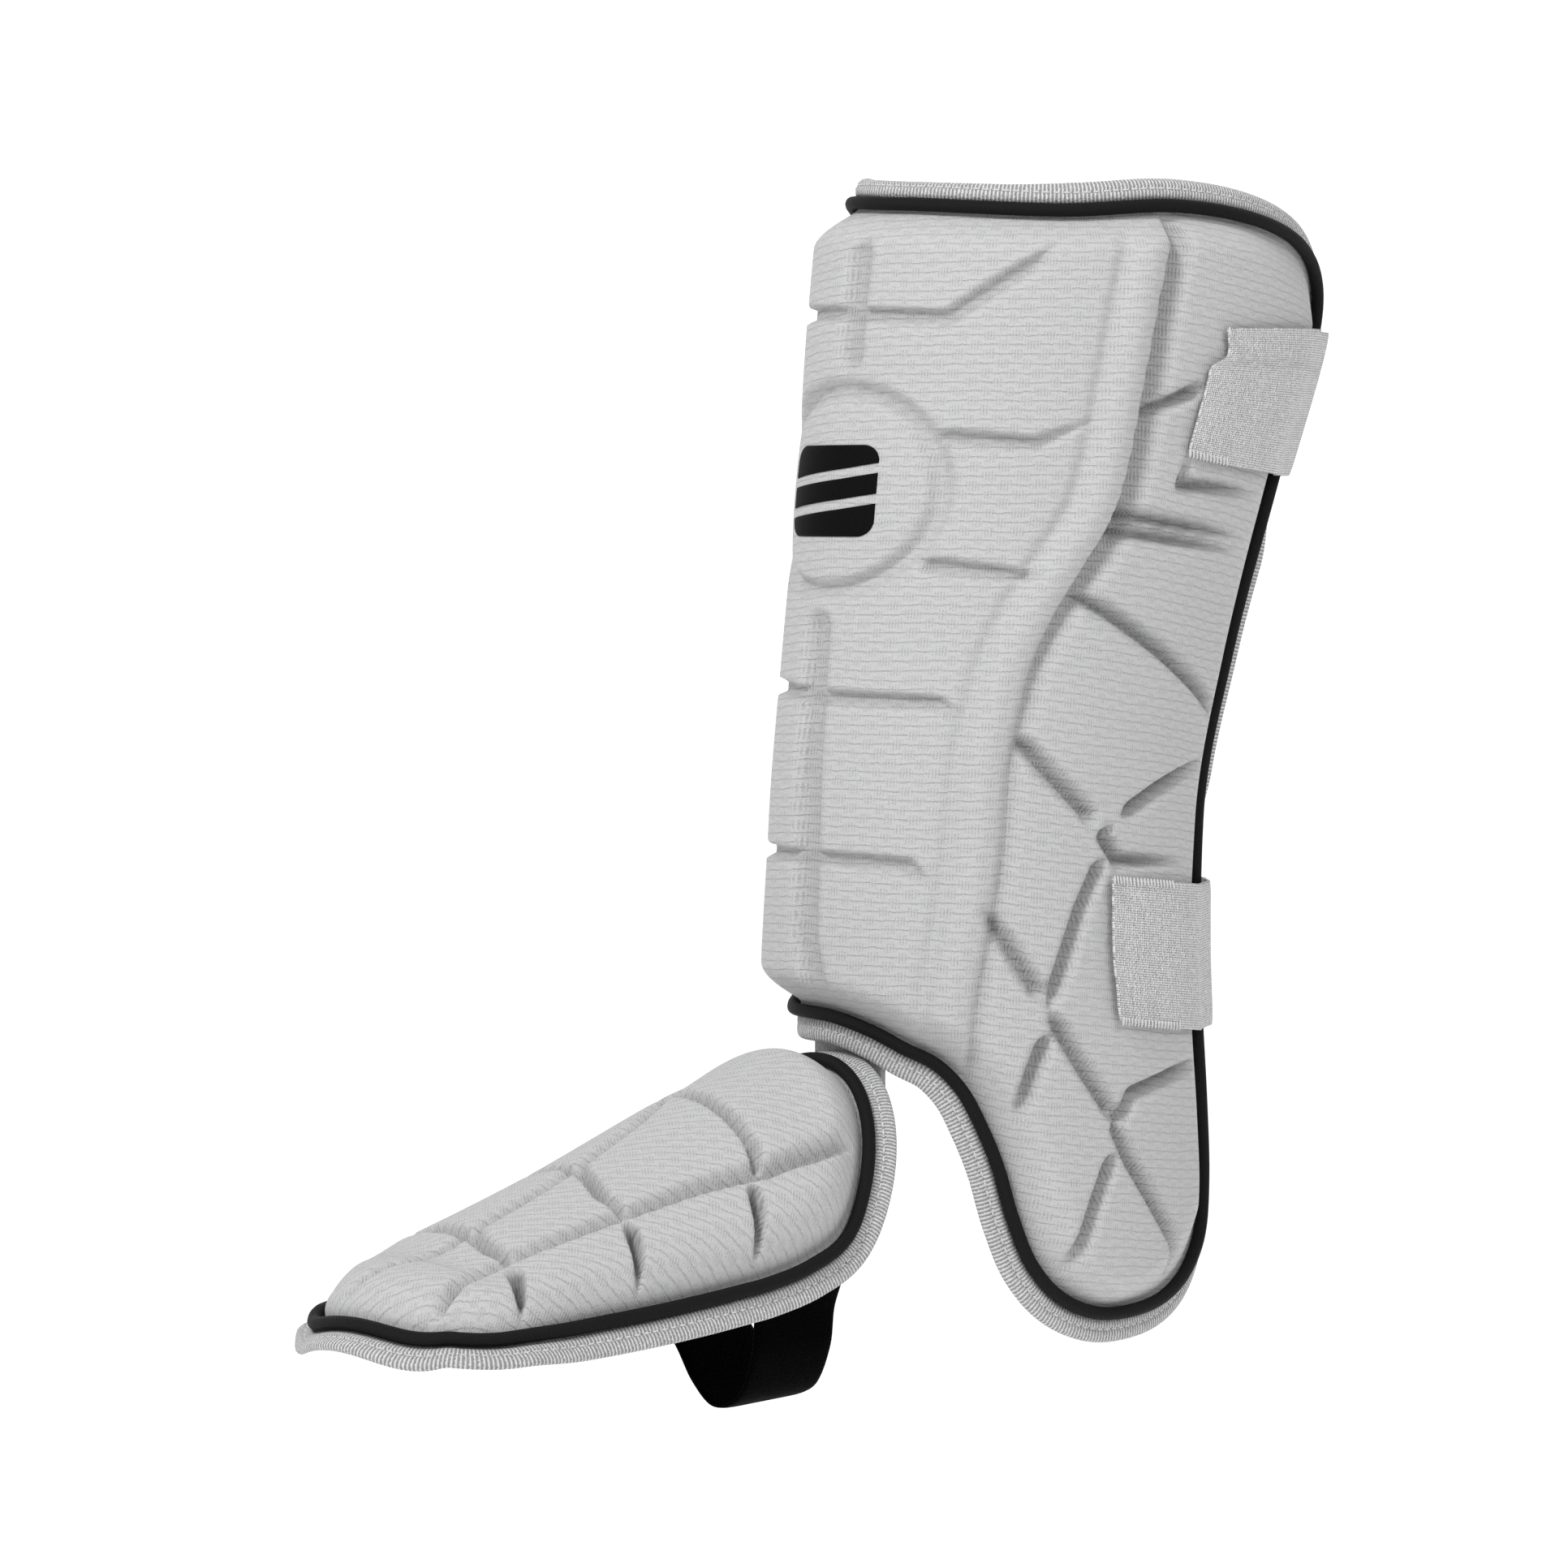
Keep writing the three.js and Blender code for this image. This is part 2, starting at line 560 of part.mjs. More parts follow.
function weltSection() {
  const half = WELT_WIDTH / 2;
  const base = PAD - 2;
  return [[-half, base], [half, base], [half * 0.8, PAD + WELT_RISE * 0.35],
    [half * 0.35, PAD + WELT_RISE], [-half * 0.35, PAD + WELT_RISE],
    [-half * 0.8, PAD + WELT_RISE * 0.35]];
}

const shinLoop = seamLoop(shinChart, SHIN_SEAM.map((p) => [p.across, shinLevel(p.height)]), 76);
const footLoop = seamLoop(footChart, footSeamPlaces(), 46);

function shinShell() {
  const inner = [-1.1, -0.93, -0.8, -0.5, -0.22];
  const outer = [0, 0.09, 0.16, 0.22, 0.27, 0.32, 0.36, 0.41, 0.48, 0.57, 0.67, 0.78, 0.87,
    0.945, 1.035];
  let body = paddedBody(shinChart, shinLoop, [...inner, ...outer], 9);
  body = body.add(solidOf(sweepOn(shinChart, chain(shinChart, WELT_LINE, WELT_STEP),
    weltSection(), false)));
  body = withGrooves(shinChart, body, FRONT_GROOVES, GROOVE_WIDTH, true);
  body = withGrooves(shinChart, body, SIDE_STROKES, STROKE_WIDTH, true);
  body = withBoss(body);
  return trimmed(shinChart, body, shinLoop);
}

function footShell() {
  const columns = [-1.14, -0.92, -0.76, -0.5, -0.25, 0, 0.25, 0.5, 0.76, 0.92, 1.14];
  let body = paddedBody(footChart, footLoop, columns, 6);
  body = withGrooves(footChart, body, FOOT_GROOVES, GROOVE_WIDTH, true);
  return trimmed(footChart, body, footLoop);
}

const pipingSection = () => {
  const sides = 6;
  const radius = PIPING / 2;
  const middle = FLANGE + GAP + radius;
  return Array.from({ length: sides }, (_, i) => {
    const angle = (2 * Math.PI * (i + 0.5)) / sides;
    return [radius * Math.cos(angle), middle + radius * Math.sin(angle)];
  });
};

// The folded tape; where the edge faces up its outer part leans in over the leg.
const bindingSection = (_, out) => {
  const fold = rad(TOP_FOLD) * Math.max(0, out.z) ** 3;
  const far = [BINDING_WIDTH * Math.cos(fold), -BINDING_WIDTH * Math.sin(fold)];
  const lift = [BINDING_THICKNESS * Math.sin(fold), BINDING_THICKNESS * Math.cos(fold)];
  return [
    [SEAM_OUT, 0], [SEAM_OUT + far[0], far[1]],
    [SEAM_OUT + far[0] + lift[0], far[1] + lift[1]], [SEAM_OUT, BINDING_THICKNESS],
  ];
};

// A flat band whose lines run side by side along the axis across it.
function bandMesh(lines, axis, thickness) {
  const faces = [1, -1].map((side) => lines.map((points) => {
    const curve = new THREE.CatmullRomCurve3(points, false, 'centripetal');
    const line = curve.getPoints(2 * (points.length - 1));
    return line.map((p, i) => {
      const before = line[Math.max(i - 1, 0)];
      const after = line[Math.min(i + 1, line.length - 1)];
      const along = after.clone().sub(before).projectOnPlane(axis).normalize();
      return p.clone().addScaledVector(along.cross(axis), (side * thickness) / 2);
    });
  }));
  return slabMesh(faces[0], faces[1]);
}

// A strap's line at one height: from its free end on the outer side, round the rear
// edge and the back of the leg, to its sewn end inside the other edge.
function strapLine(middle, freeEnd, tilt) {
  const low = middle - tilt / 2;
  const at = (length, height, z = low) => {
    const across = shinChart.unflat(length, z)[0];
    return shinChart.point(across, z, height);
  };
  const edgeLength = shinChart.flat(1, low)[0];
  const half = GAP + STRAP_THICKNESS / 2;
  const tape = SEAM_OUT + BINDING_WIDTH;
  const points = [];
  const start = freeEnd * edgeLength;
  const flatEnd = edgeLength - SHOULDER;
  for (let i = 0; i <= 4; i += 1) {
    const length = start + (flatEnd - start) * (i / 4);
    const top = paddingHeight(edgeLength - length, shinChart.shoulder(length / edgeLength));
    points.push(at(length, top + 2 * half, low + tilt * (1 - i / 4)));
  }
  points.push(at(edgeLength - PIPING * 0.6, FLANGE + PIPING + GAP + half));
  points.push(at(edgeLength + PIPING * 0.4, FLANGE + PIPING + GAP + half));
  points.push(at(edgeLength + tape * 0.75, BINDING_THICKNESS + 2.3 * half));
  points.push(at(edgeLength + tape + half * 2.2, BINDING_THICKNESS + half));
  points.push(at(edgeLength + tape + half * 3, 0));
  const farEdge = -INNER_LENGTH * shinCurves.scale(middle);
  const from = at(edgeLength + tape + half * 3, -STRAP_THICKNESS * 1.5);
  const to = at(farEdge - tape - 2, -half * 2, middle);
  const chord = to.clone().sub(from);
  const back = new THREE.Vector3(-chord.y, chord.x, 0).normalize().negate();
  for (let i = 0; i <= 6; i += 1) {
    const t = i / 6;
    points.push(from.clone().addScaledVector(chord, t)
      .addScaledVector(back, STRAP_BULGE * 4 * t * (1 - t)));
  }
  points.push(at(farEdge + 2, -half * 1.3, middle));
  points.push(at(farEdge + STRAP_LAP, -half * 1.3, middle));
  return points;
}

function strapMesh(height, freeEnd, tilt) {
  const rows = 2;
  const lines = [];
  for (let r = 0; r <= rows; r += 1) {
    lines.push(strapLine(height + STRAP_WIDTH * (r / rows - 0.5), freeEnd, tilt));
  }
  return bandMesh(lines, new THREE.Vector3(0, 0, 1), STRAP_THICKNESS);
}

// The stirrup's line across the foot: x and z on one plane across the foot.
function stirrupLine(back) {
  const inside = -(GAP * 3 + STIRRUP_THICKNESS / 2);
  const lap = [0.74, 0.82, 0.9, 0.98];
  const outer = lap.map((share) => footChart.point(share, back, inside));
  const inner = lap.map((share) => footChart.point(-share, back, inside)).reverse();
  const hem = footChart.point(1, -STIRRUP_BACK, 0);
  const at = ([across, depth]) => new THREE.Vector3(
    FOOT_OFFSET + FOOT_HALF_WIDTH * across, outer[3].y, hem.z - STIRRUP_DEPTH * depth);
  return [...outer, ...STIRRUP_SAG.map(at), ...inner];
}

function stirrupMesh() {
  const rows = 2;
  const lines = [];
  for (let r = 0; r <= rows; r += 1) {
    lines.push(stirrupLine(-STIRRUP_BACK + STIRRUP_WIDTH * (r / rows - 0.5)));
  }
  return bandMesh(lines, new THREE.Vector3(0, -1, 0), STIRRUP_THICKNESS);
}

// The hidden tab, from inside the shin's front down behind both bindings to inside the foot.
function ankleTabMesh() {
  const columns = 5;
  const clear = GAP * 4;
  const shinAcross = (x, z) => {
    let [low, high] = [-0.9, 0.5];
    for (let i = 0; i < 30; i += 1) {
      const middle = (low + high) / 2;
      if (shinChart.point(middle, z, 0).x < x) low = middle;
      else high = middle;
    }
    return low;
  };
  const footAcross = (x, back) => {
    const share = ((x - FOOT_OFFSET) / footCurves.width(-back)) * Math.sin(rad(FOOT_TURN));
    return Math.asin(share) / rad(FOOT_TURN);
  };
  const rear = SEAM_OUT + BINDING_WIDTH;
  const line = (x, depth) => {
    const shinAt = (z) => shinChart.point(shinAcross(x, z), z, -clear - depth);
    const footAt = (back) => footChart.point(footAcross(x, back), back, -clear - depth);
    const tapeEnd = footChart.point(0, rear, 0);
    const bend = Math.max(shinAt(0).y + clear, tapeEnd.y + clear * 2 + depth);
    return [
      shinAt(TAB_RISE), shinAt(TAB_RISE / 2), shinAt(TAB_RISE / 6),
      new THREE.Vector3(x, bend, tapeEnd.z + BINDING_THICKNESS),
      new THREE.Vector3(x, bend, footAt(0).z - clear),
      footAt(-rear / 3), footAt(-rear * 1.5), footAt(-rear * 3),
    ];
  };
  const grid = (depth) => Array.from({ length: columns + 1 }, (_, c) => line(
    TAB_OFFSET + TAB_HALF_SPAN * (2 * c / columns - 1), depth));
  return slabMesh(grid(0), grid(TAB_THICKNESS));
}

const guard = new THREE.Group();

function addMesh(name, positions, index, color, roughness) {
  const geometry = new THREE.BufferGeometry();
  geometry.setAttribute('position', new THREE.BufferAttribute(new Float32Array(positions), 3));
  geometry.setIndex(Array.from(index));
  const material = new THREE.MeshStandardMaterial({ color, roughness, metalness: 0 });
  const mesh = new THREE.Mesh(geometry, material);
  mesh.name = name;
  guard.add(mesh);
}

function addSolid(name, solid, color, roughness) {
  const mesh = solid.getMesh();
  addMesh(name, mesh.vertProperties, mesh.triVerts, color, roughness);
}

const addPiece = (name, mesh, color, roughness) => addMesh(name, mesh.positions, mesh.index,
  color, roughness);

const KNIT = 0xd6d6d6;
const TAPE = 0xcfcfcf;
const ELASTIC = 0xd2d2d2;
const BLACK = 0x1a1a1a;

addSolid('shin_shell', shinShell(), KNIT, 0.9);
addSolid('foot_shell', footShell(), KNIT, 0.9);
addPiece('shin_piping', sweepOn(shinChart, shinLoop, pipingSection(), true), BLACK, 0.7);
addPiece('foot_piping', sweepOn(footChart, footLoop, pipingSection(), true), BLACK, 0.7);
addPiece('shin_binding', sweepOn(shinChart, shinLoop, bindingSection, true), TAPE, 0.85);
addPiece('foot_binding', sweepOn(footChart, footLoop, bindingSection, true), TAPE, 0.85);
addPiece('upper_strap', strapMesh(UPPER_STRAP_HEIGHT, UPPER_STRAP_END, 0), ELASTIC, 0.75);
addPiece('lower_strap', strapMesh(LOWER_STRAP_HEIGHT, LOWER_STRAP_END, LOWER_STRAP_TILT),
  ELASTIC, 0.75);
addPiece('foot_strap', stirrupMesh(), BLACK, 0.6);
addPiece('ankle_tab', ankleTabMesh(), TAPE, 0.9);

export default guard;
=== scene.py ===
# A batter's leg guard for the left leg, dressed over its CAD model, piece by piece.
# Charts count in millimetres, as the pattern of the guard does; meshes are in metres.
import math

import bpy
import numpy as np
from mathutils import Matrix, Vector, kdtree


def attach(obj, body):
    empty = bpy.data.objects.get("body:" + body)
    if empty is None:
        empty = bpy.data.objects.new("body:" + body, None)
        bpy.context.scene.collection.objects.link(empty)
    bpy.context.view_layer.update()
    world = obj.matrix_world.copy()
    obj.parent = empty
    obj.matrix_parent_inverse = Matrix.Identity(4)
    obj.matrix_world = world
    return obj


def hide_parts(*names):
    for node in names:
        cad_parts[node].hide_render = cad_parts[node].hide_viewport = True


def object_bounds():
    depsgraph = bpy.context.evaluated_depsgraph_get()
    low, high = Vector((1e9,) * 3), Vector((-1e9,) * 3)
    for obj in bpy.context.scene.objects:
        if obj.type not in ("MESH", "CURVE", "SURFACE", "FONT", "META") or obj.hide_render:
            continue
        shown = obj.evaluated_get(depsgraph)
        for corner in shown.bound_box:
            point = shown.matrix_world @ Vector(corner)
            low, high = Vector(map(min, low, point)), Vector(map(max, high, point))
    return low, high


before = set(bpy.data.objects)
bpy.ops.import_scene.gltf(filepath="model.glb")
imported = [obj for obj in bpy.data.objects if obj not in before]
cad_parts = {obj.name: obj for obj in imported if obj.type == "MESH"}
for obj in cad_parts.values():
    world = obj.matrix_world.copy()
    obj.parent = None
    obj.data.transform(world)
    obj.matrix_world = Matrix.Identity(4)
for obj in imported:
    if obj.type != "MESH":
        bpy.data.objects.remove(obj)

cad_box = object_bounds()

# Shin piece: a slab of foam moulded to the shin with a knit cover pressed into it. It runs
# from the inner side round the front to the outer side, where a lobe hangs over the ankle
# bone. The pressed grooves, the round boss and the welt are moulded in one go.
PAD = 14.0
FLANGE = 1.8               # the thin edge that is sewn
SHOULDER = 12.0            # width over which the pad rounds up from its seam
REAR_SHOULDER = 46.0       # the same at the outer side's rear edge
REAR_ROUNDING = (0.6, 0.4) # shares across, from where and over which the one becomes the other
PIPING = 4.6
SHIN_HEIGHT = 256.0
LOBE_DROP = 86.0
CALF_SWEEP = 40.0
SHIN_FRONT = (3.0, -66.0)
FRONT_FACING = math.radians(6)
OUTER_ARCS = ((68.0, math.radians(72)), (128.0, math.radians(38)))
INNER_ARCS = ((30.0, math.radians(48)), (83.0, math.radians(22)))
OUTER_LENGTH = sum(radius * turn for radius, turn in OUTER_ARCS)
INNER_LENGTH = sum(radius * turn for radius, turn in INNER_ARCS)


def ramp(x, start, run):
    """0 up to the start, 1 from a run beyond it, and straight in between."""
    return np.clip((x - start) / run, 0, 1)


def column_curve(xs, ys):
    """A smooth curve through a column of a table, without overshoot between its rows."""
    xs, ys = np.array(xs, float), np.array(ys, float)
    steps = np.diff(ys) / np.diff(xs)
    slopes = np.concatenate([steps[:1], np.zeros(len(xs) - 2), steps[-1:]])
    for i in range(1, len(xs) - 1):
        if steps[i - 1] * steps[i] > 0:
            slopes[i] = 2 * steps[i - 1] * steps[i] / (steps[i - 1] + steps[i])

    def curve(x):
        x = np.asarray(x, float)
        i = np.clip(np.searchsorted(xs, x) - 1, 0, len(xs) - 2)
        width = xs[i + 1] - xs[i]
        t = ramp(x, xs[i], width)
        y = ys[i] + (ys[i + 1] - ys[i]) * t * t * (3 - 2 * t)
        y = y + slopes[i] * t * (1 - t) ** 2 * width + slopes[i + 1] * t * t * (t - 1) * width
        y = y + slopes[0] * np.minimum(x - xs[0], 0)
        return y + slopes[-1] * np.maximum(x - xs[-1], 0)
    return curve


def shin_level(share):
    return share * np.where(np.asarray(share) >= 0, SHIN_HEIGHT, LOBE_DROP)


SHIN_ROWS = np.array([  # height, scale, sweep, reach
    (-1.22, 0.87, 0, 1.02), (-0.52, 0.86, 0, 1.03), (0.055, 0.83, 0, 1.02),
    (0.258, 0.81, 0.05, 1.045), (0.461, 0.855, 0.275, 1.025), (0.664, 0.93, 0.575, 0.995),
    (0.871, 1.0, 0.825, 1.03), (1.035, 1.025, 1.0, 1.03)])
row_level = shin_level(SHIN_ROWS[:, 0])
shin_scale = column_curve(row_level, SHIN_ROWS[:, 1])
shin_sweep = column_curve(row_level, SHIN_ROWS[:, 2] * CALF_SWEEP)
shin_reach = column_curve(row_level, SHIN_ROWS[:, 3])


def shin_section(length):
    """x, y and outward direction of the full-size section, at a length from its front."""
    length = np.asarray(length, float)
    sign = np.where(length >= 0, 1.0, -1.0)
    outer = length >= 0
    bend = np.where(outer, OUTER_ARCS[0][0], INNER_ARCS[0][0])
    turn = np.where(outer, OUTER_ARCS[0][1], INNER_ARCS[0][1])
    flank = np.where(outer, OUTER_ARCS[1][0], INNER_ARCS[1][0])
    first = np.minimum(np.abs(length), bend * turn) / bend
    second = (np.abs(length) - bend * first) / flank
    a = FRONT_FACING
    b = a + sign * first
    c = b + sign * second
    x = SHIN_FRONT[0] + bend * (np.sin(b) - np.sin(a)) + flank * (np.sin(c) - np.sin(b))
    y = SHIN_FRONT[1] - bend * (np.cos(b) - np.cos(a)) - flank * (np.cos(c) - np.cos(b))
    return x, y, np.sin(c), -np.cos(c)


class ShinChart:
    """Places of the shin piece: across and level, or flat lengths in millimetres."""

    def flat(self, across, level):
        side = np.where(across >= 0, OUTER_LENGTH * shin_reach(level), INNER_LENGTH)
        return across * side * shin_scale(level), level

    def point(self, s, level, height):
        """The point at flat length s and that level, height above the inner face."""
        scale = shin_scale(level)
        x, y, nx, ny = shin_section(s / scale)
        level = np.broadcast_to(level, np.shape(x))
        return np.stack([scale * x + height * nx,
                         scale * y + shin_sweep(level) + height * ny, level], -1)

    def shoulder(self, s, level):
        across = s / (shin_scale(level) * OUTER_LENGTH * shin_reach(level))
        t = ramp(across, *REAR_ROUNDING)
        return SHOULDER + (REAR_SHOULDER - SHOULDER) * t * t * (3 - 2 * t)


shin_chart = ShinChart()


def shin_flat(places):
    places = np.asarray(places, float)
    return np.stack(shin_chart.flat(places[:, 0], shin_level(places[:, 1])), -1)


def spot(chart, s, level, height):
    """A single point of a chart."""
    return chart.point(np.array([s]), np.array([level]), np.array([height]))[0]


def reach_along(line):
    """How far along a line each of its points lies."""
    return np.concatenate([[0], np.cumsum(np.linalg.norm(np.diff(line, axis=0), axis=1))])


def read_columns(at, reach, rows):
    """Every column of the rows, read at the same places along them."""
    return np.stack([np.interp(at, reach, column) for column in np.transpose(rows)], -1)


def even_line(line, spacing, least):
    """Evenly spaced points along a line, with its ends and with at least so many."""
    reach = reach_along(line)
    count = max(least, int(round(reach[-1] / spacing)) + 1)
    return read_columns(np.linspace(0, reach[-1], count), reach, line)


def smooth_line(points, spacing, closed=False):
    """Evenly spaced points along the centripetal curve through the given ones."""
    points = np.asarray(points, float)
    if closed:
        points = np.concatenate([points[-1:], points, points[:2]])
    else:
        ends = 2 * points[[0, -1]] - points[[1, -2]]
        points = np.concatenate([ends[:1], points, ends[1:]])
    t = np.linspace(0, 1, 16, endpoint=False)[:, None]
    pieces = []
    for i in range(1, len(points) - 2):
        p0, p1, p2, p3 = points[i - 1:i + 3]
        d0, d1, d2 = [max(np.linalg.norm(b - a), 1e-6) ** 0.5
                      for a, b in ((p0, p1), (p1, p2), (p2, p3))]
        t1 = ((p1 - p0) / d0 - (p2 - p0) / (d0 + d1) + (p2 - p1) / d1) * d1
        t2 = ((p2 - p1) / d1 - (p3 - p1) / (d1 + d2) + (p3 - p2) / d2) * d1
        pieces.append((2 * t ** 3 - 3 * t ** 2 + 1) * p1 + (t ** 3 - 2 * t ** 2 + t) * t1
                      + (3 * t ** 2 - 2 * t ** 3) * p2 + (t ** 3 - t ** 2) * t2)
    pieces.append(points[-2:-1])
    line = even_line(np.concatenate(pieces), spacing, 2)
    return line[:-1] if closed else line


def line_side(line, closed):
    """Unit directions to the right of a flat line, which is outwards on a seam."""
    if closed:
        along = np.roll(line, -1, 0) - np.roll(line, 1, 0)
    else:
        along = np.gradient(line, axis=0)
    along /= np.linalg.norm(along, axis=1)[:, None]
    return np.stack([along[:, 1], -along[:, 0]], -1)


def nearest(line, points):
    """Index of the nearest point of the line and the distance, for every point."""
    tree = kdtree.KDTree(len(line))
    for i, p in enumerate(line):
        tree.insert((p[0], p[1], 0), i)
    tree.balance()
    found = [tree.find((p[0], p[1], 0))[1:] for p in points]
    return np.array([f[0] for f in found]), np.array([f[1] for f in found])


GROOVE_STEP = 0.4          # spacing of the points that stand for a groove
SHORT_RISE = 6.0           # how soon a groove reaches its depth, where none is given
END_DEPTH = 0.1            # depth and width at a groove's very end, as shares
END_WIDTH = 0.45


def press(points, flat, grooves, cut):
    """Depth pressed by grooves: a floor, walls that round up, ends that run out.

    A groove is its line, alone or with the lengths over which its two ends rise. The cut
    is half the floor's width, the widths of the walls to the left and right, the depth."""
    bed, walls, depth = cut
    total = np.zeros(len(points))
    for groove in grooves:
        sized = groove if isinstance(groove, tuple) else (groove, SHORT_RISE, SHORT_RISE)
        corners, start_rise, end_rise = sized
        line = even_line(flat(corners), GROOVE_STEP, 3)
        near = np.linalg.norm(points - line.mean(0), axis=1)
        reach = np.linalg.norm(line - line.mean(0), axis=1).max() + bed + max(walls)
        chosen = np.nonzero(near < reach)[0]
        if not len(chosen):
            continue
        index, distance = nearest(line, points[chosen])
        start = index * GROOVE_STEP / start_rise
        end = (len(line) - 1 - index) * GROOVE_STEP / end_rise
        fade = np.clip(np.minimum(start, end), 0, 1)
        fade = END_DEPTH + (1 - END_DEPTH) * np.sin(fade * math.pi / 2)
        aside = ((points[chosen] - line[index]) * line_side(line, False)[index]).sum(1)
        wall = np.where(aside > 0, walls[1], walls[0]) * (END_WIDTH + (1 - END_WIDTH) * fade)
        t = ramp(distance, bed * fade, wall)
        total[chosen] = np.maximum(total[chosen], depth * fade * (1 - np.sin(t * math.pi / 2)))
    return total


OVER_SEAM = 2.0            # how far a padded piece runs on under its piping


def grid_lines(low, high, step, close):
    """Places a step apart, and about half as far apart near the close ones."""
    fine = 0.1
    at = np.arange(low, high, fine)
    near = np.exp(-((at[:, None] - np.array(close or [-1e4])) / 4) ** 2).max(1)
    count = np.cumsum((1 + 0.9 * near) * fine / step)
    return np.interp(np.arange(0, count[-1]), count, at)


def grid_body(chart, seam, step, outer_height, inner_height=None, close=None):
    """A closed body over the region inside a seam: vertices, quads, flat places and the
    marks that outer_height gives. Rows lie closer together near the close levels."""
    side = line_side(seam, True)
    low, high = seam.min(0) - 2 * step - OVER_SEAM, seam.max(0) + 2 * step + OVER_SEAM
    s, v = np.meshgrid(np.arange(low[0], high[0], step),
                       grid_lines(low[1], high[1], step * 1.1, close), indexing="ij")
    places = np.stack([s.ravel(), v.ravel()], -1)
    index, distance = nearest(seam, places)
    out = ((places - seam[index]) * side[index]).sum(1)
    signed = np.where(out > 0, distance, -distance)
    rim = seam[index] + side[index] * OVER_SEAM
    places = np.where((signed > OVER_SEAM)[:, None], rim, places)
    ids = np.arange(s.size).reshape(s.shape)
    cells = np.stack([ids[:-1, :-1], ids[1:, :-1], ids[1:, 1:], ids[:-1, 1:]], -1).reshape(-1, 4)
    cells = cells[(signed[cells] < OVER_SEAM + 0.75 * step).all(1)]
    used, cells = np.unique(cells, return_inverse=True)
    cells = cells.reshape(-1, 4)
    places, depth, count = places[used], -np.minimum(signed, OVER_SEAM)[used], len(used)
    top, press_and_shade = outer_height(places, depth)
    bottom = np.zeros(count) if inner_height is None else inner_height(depth)
    points = [chart.point(places[:, 0], places[:, 1], height) for height in (top, bottom)]
    edges = np.stack([cells.T, np.roll(cells, -1, 1).T], -1).reshape(-1, 2).astype(np.int64)
    key, back = edges @ (count, 1), edges @ (1, count)
    start, end = edges[~np.isin(key, back)].T
    walls = np.stack([end, start, start + count, end + count], -1)
    quads = np.concatenate([cells, cells[:, ::-1] + count, walls])
    return np.concatenate(points), quads, places, press_and_shade


def make_piece(name, material, points, quads, uv=None, marks=None):
    """An object from points in millimetres, with its uv in millimetres and its marks.

    Where the points are two like faces, the uv may be given for the upper one alone, and
    marks are 0 on the points that they don't reach."""
    mesh = bpy.data.meshes.new(name)
    mesh.vertices.add(len(points))
    mesh.vertices.foreach_set("co", (np.asarray(points, float) * 0.001).ravel())
    mesh.loops.add(quads.size)
    mesh.loops.foreach_set("vertex_index", quads.ravel())
    mesh.polygons.add(len(quads))
    mesh.polygons.foreach_set("loop_start", np.arange(len(quads)) * quads.shape[1])
    mesh.polygons.foreach_set("use_smooth", np.ones(len(quads), bool))
    mesh.update(calc_edges=True)
    mesh.validate()
    mesh.materials.append(material)
    if uv is not None:
        uv = np.tile(np.asarray(uv, np.float32), (len(points) // len(uv), 1))
        layer = mesh.uv_layers.new(name="cloth")
        loop_vertex = np.empty(len(mesh.loops), np.int32)
        mesh.loops.foreach_get("vertex_index", loop_vertex)
        layer.data.foreach_set("uv", uv[loop_vertex].ravel())
    for press_and_shade, values in (marks or {}).items():
        attribute = mesh.attributes.new(press_and_shade, "FLOAT", "POINT")
        values = np.pad(values.astype(np.float32), (0, len(points) - len(values)))
        attribute.data.foreach_set("value", values)
    piece = bpy.data.objects.new(name, mesh)
    bpy.context.scene.collection.objects.link(piece)
    return piece


SHIN_SEAM = [
    (-0.5, 0.031), (0.01, 0.031), (0.11, 0.016), (0.18, -0.01), (0.24, -0.06),
    (0.29, -0.15), (0.33, -0.29), (0.36, -0.43), (0.39, -0.62), (0.43, -0.79),
    (0.49, -0.91), (0.58, -0.985), (0.69, -1.0), (0.8, -0.975), (0.9, -0.9),
    (0.975, -0.78), (1.0, -0.6), (1.0, -0.3), (1.0, 0.05), (1.0, 0.2), (1.0, 0.35),
    (1.0, 0.5), (1.0, 0.6), (1.0, 0.7), (1.0, 0.78), (1.0, 0.86), (0.98, 0.9),
    (0.93, 0.934), (0.84, 0.965), (0.7, 0.988), (0.5, 1.0), (0.3, 0.992), (0.02, 1.004),
    (-0.5, 1.012), (-0.82, 1.0), (-0.96, 0.96), (-1.0, 0.88), (-1.0, 0.7), (-1.0, 0.5),
    (-1.0, 0.3), (-1.0, 0.15), (-0.96, 0.08), (-0.82, 0.042)]
BOSS_PLACE = (-0.06, 0.66)
BOSS_RADIUS = 28.0
BOSS_DOME = 1.9
BOSS_RING = 2.6            # from the boss's radius to the middle of the ring round it
BOSS_CUT = (1.4, 3.2, 3.4)              # half the ring's floor, its walls, its depth
UPRIGHT_CUT = (2.2, (2.6, 2.0), 2.8)    # half the floor, left and right wall, depth
LEVEL_CUT = (1.8, (1.3, 1.3), 2.3)
SIDE_CUT = (0.7, (2.8, 2.8), 5.0)
UPRIGHT_GROOVES = [
    [(-0.01, 0.965), (-0.02, 0.875), (-0.01, 0.8)],
    [(-0.07, 0.52), (-0.06, 0.43), (-0.04, 0.34), (-0.02, 0.245), (0, 0.125), (0.03, 0.045)]]
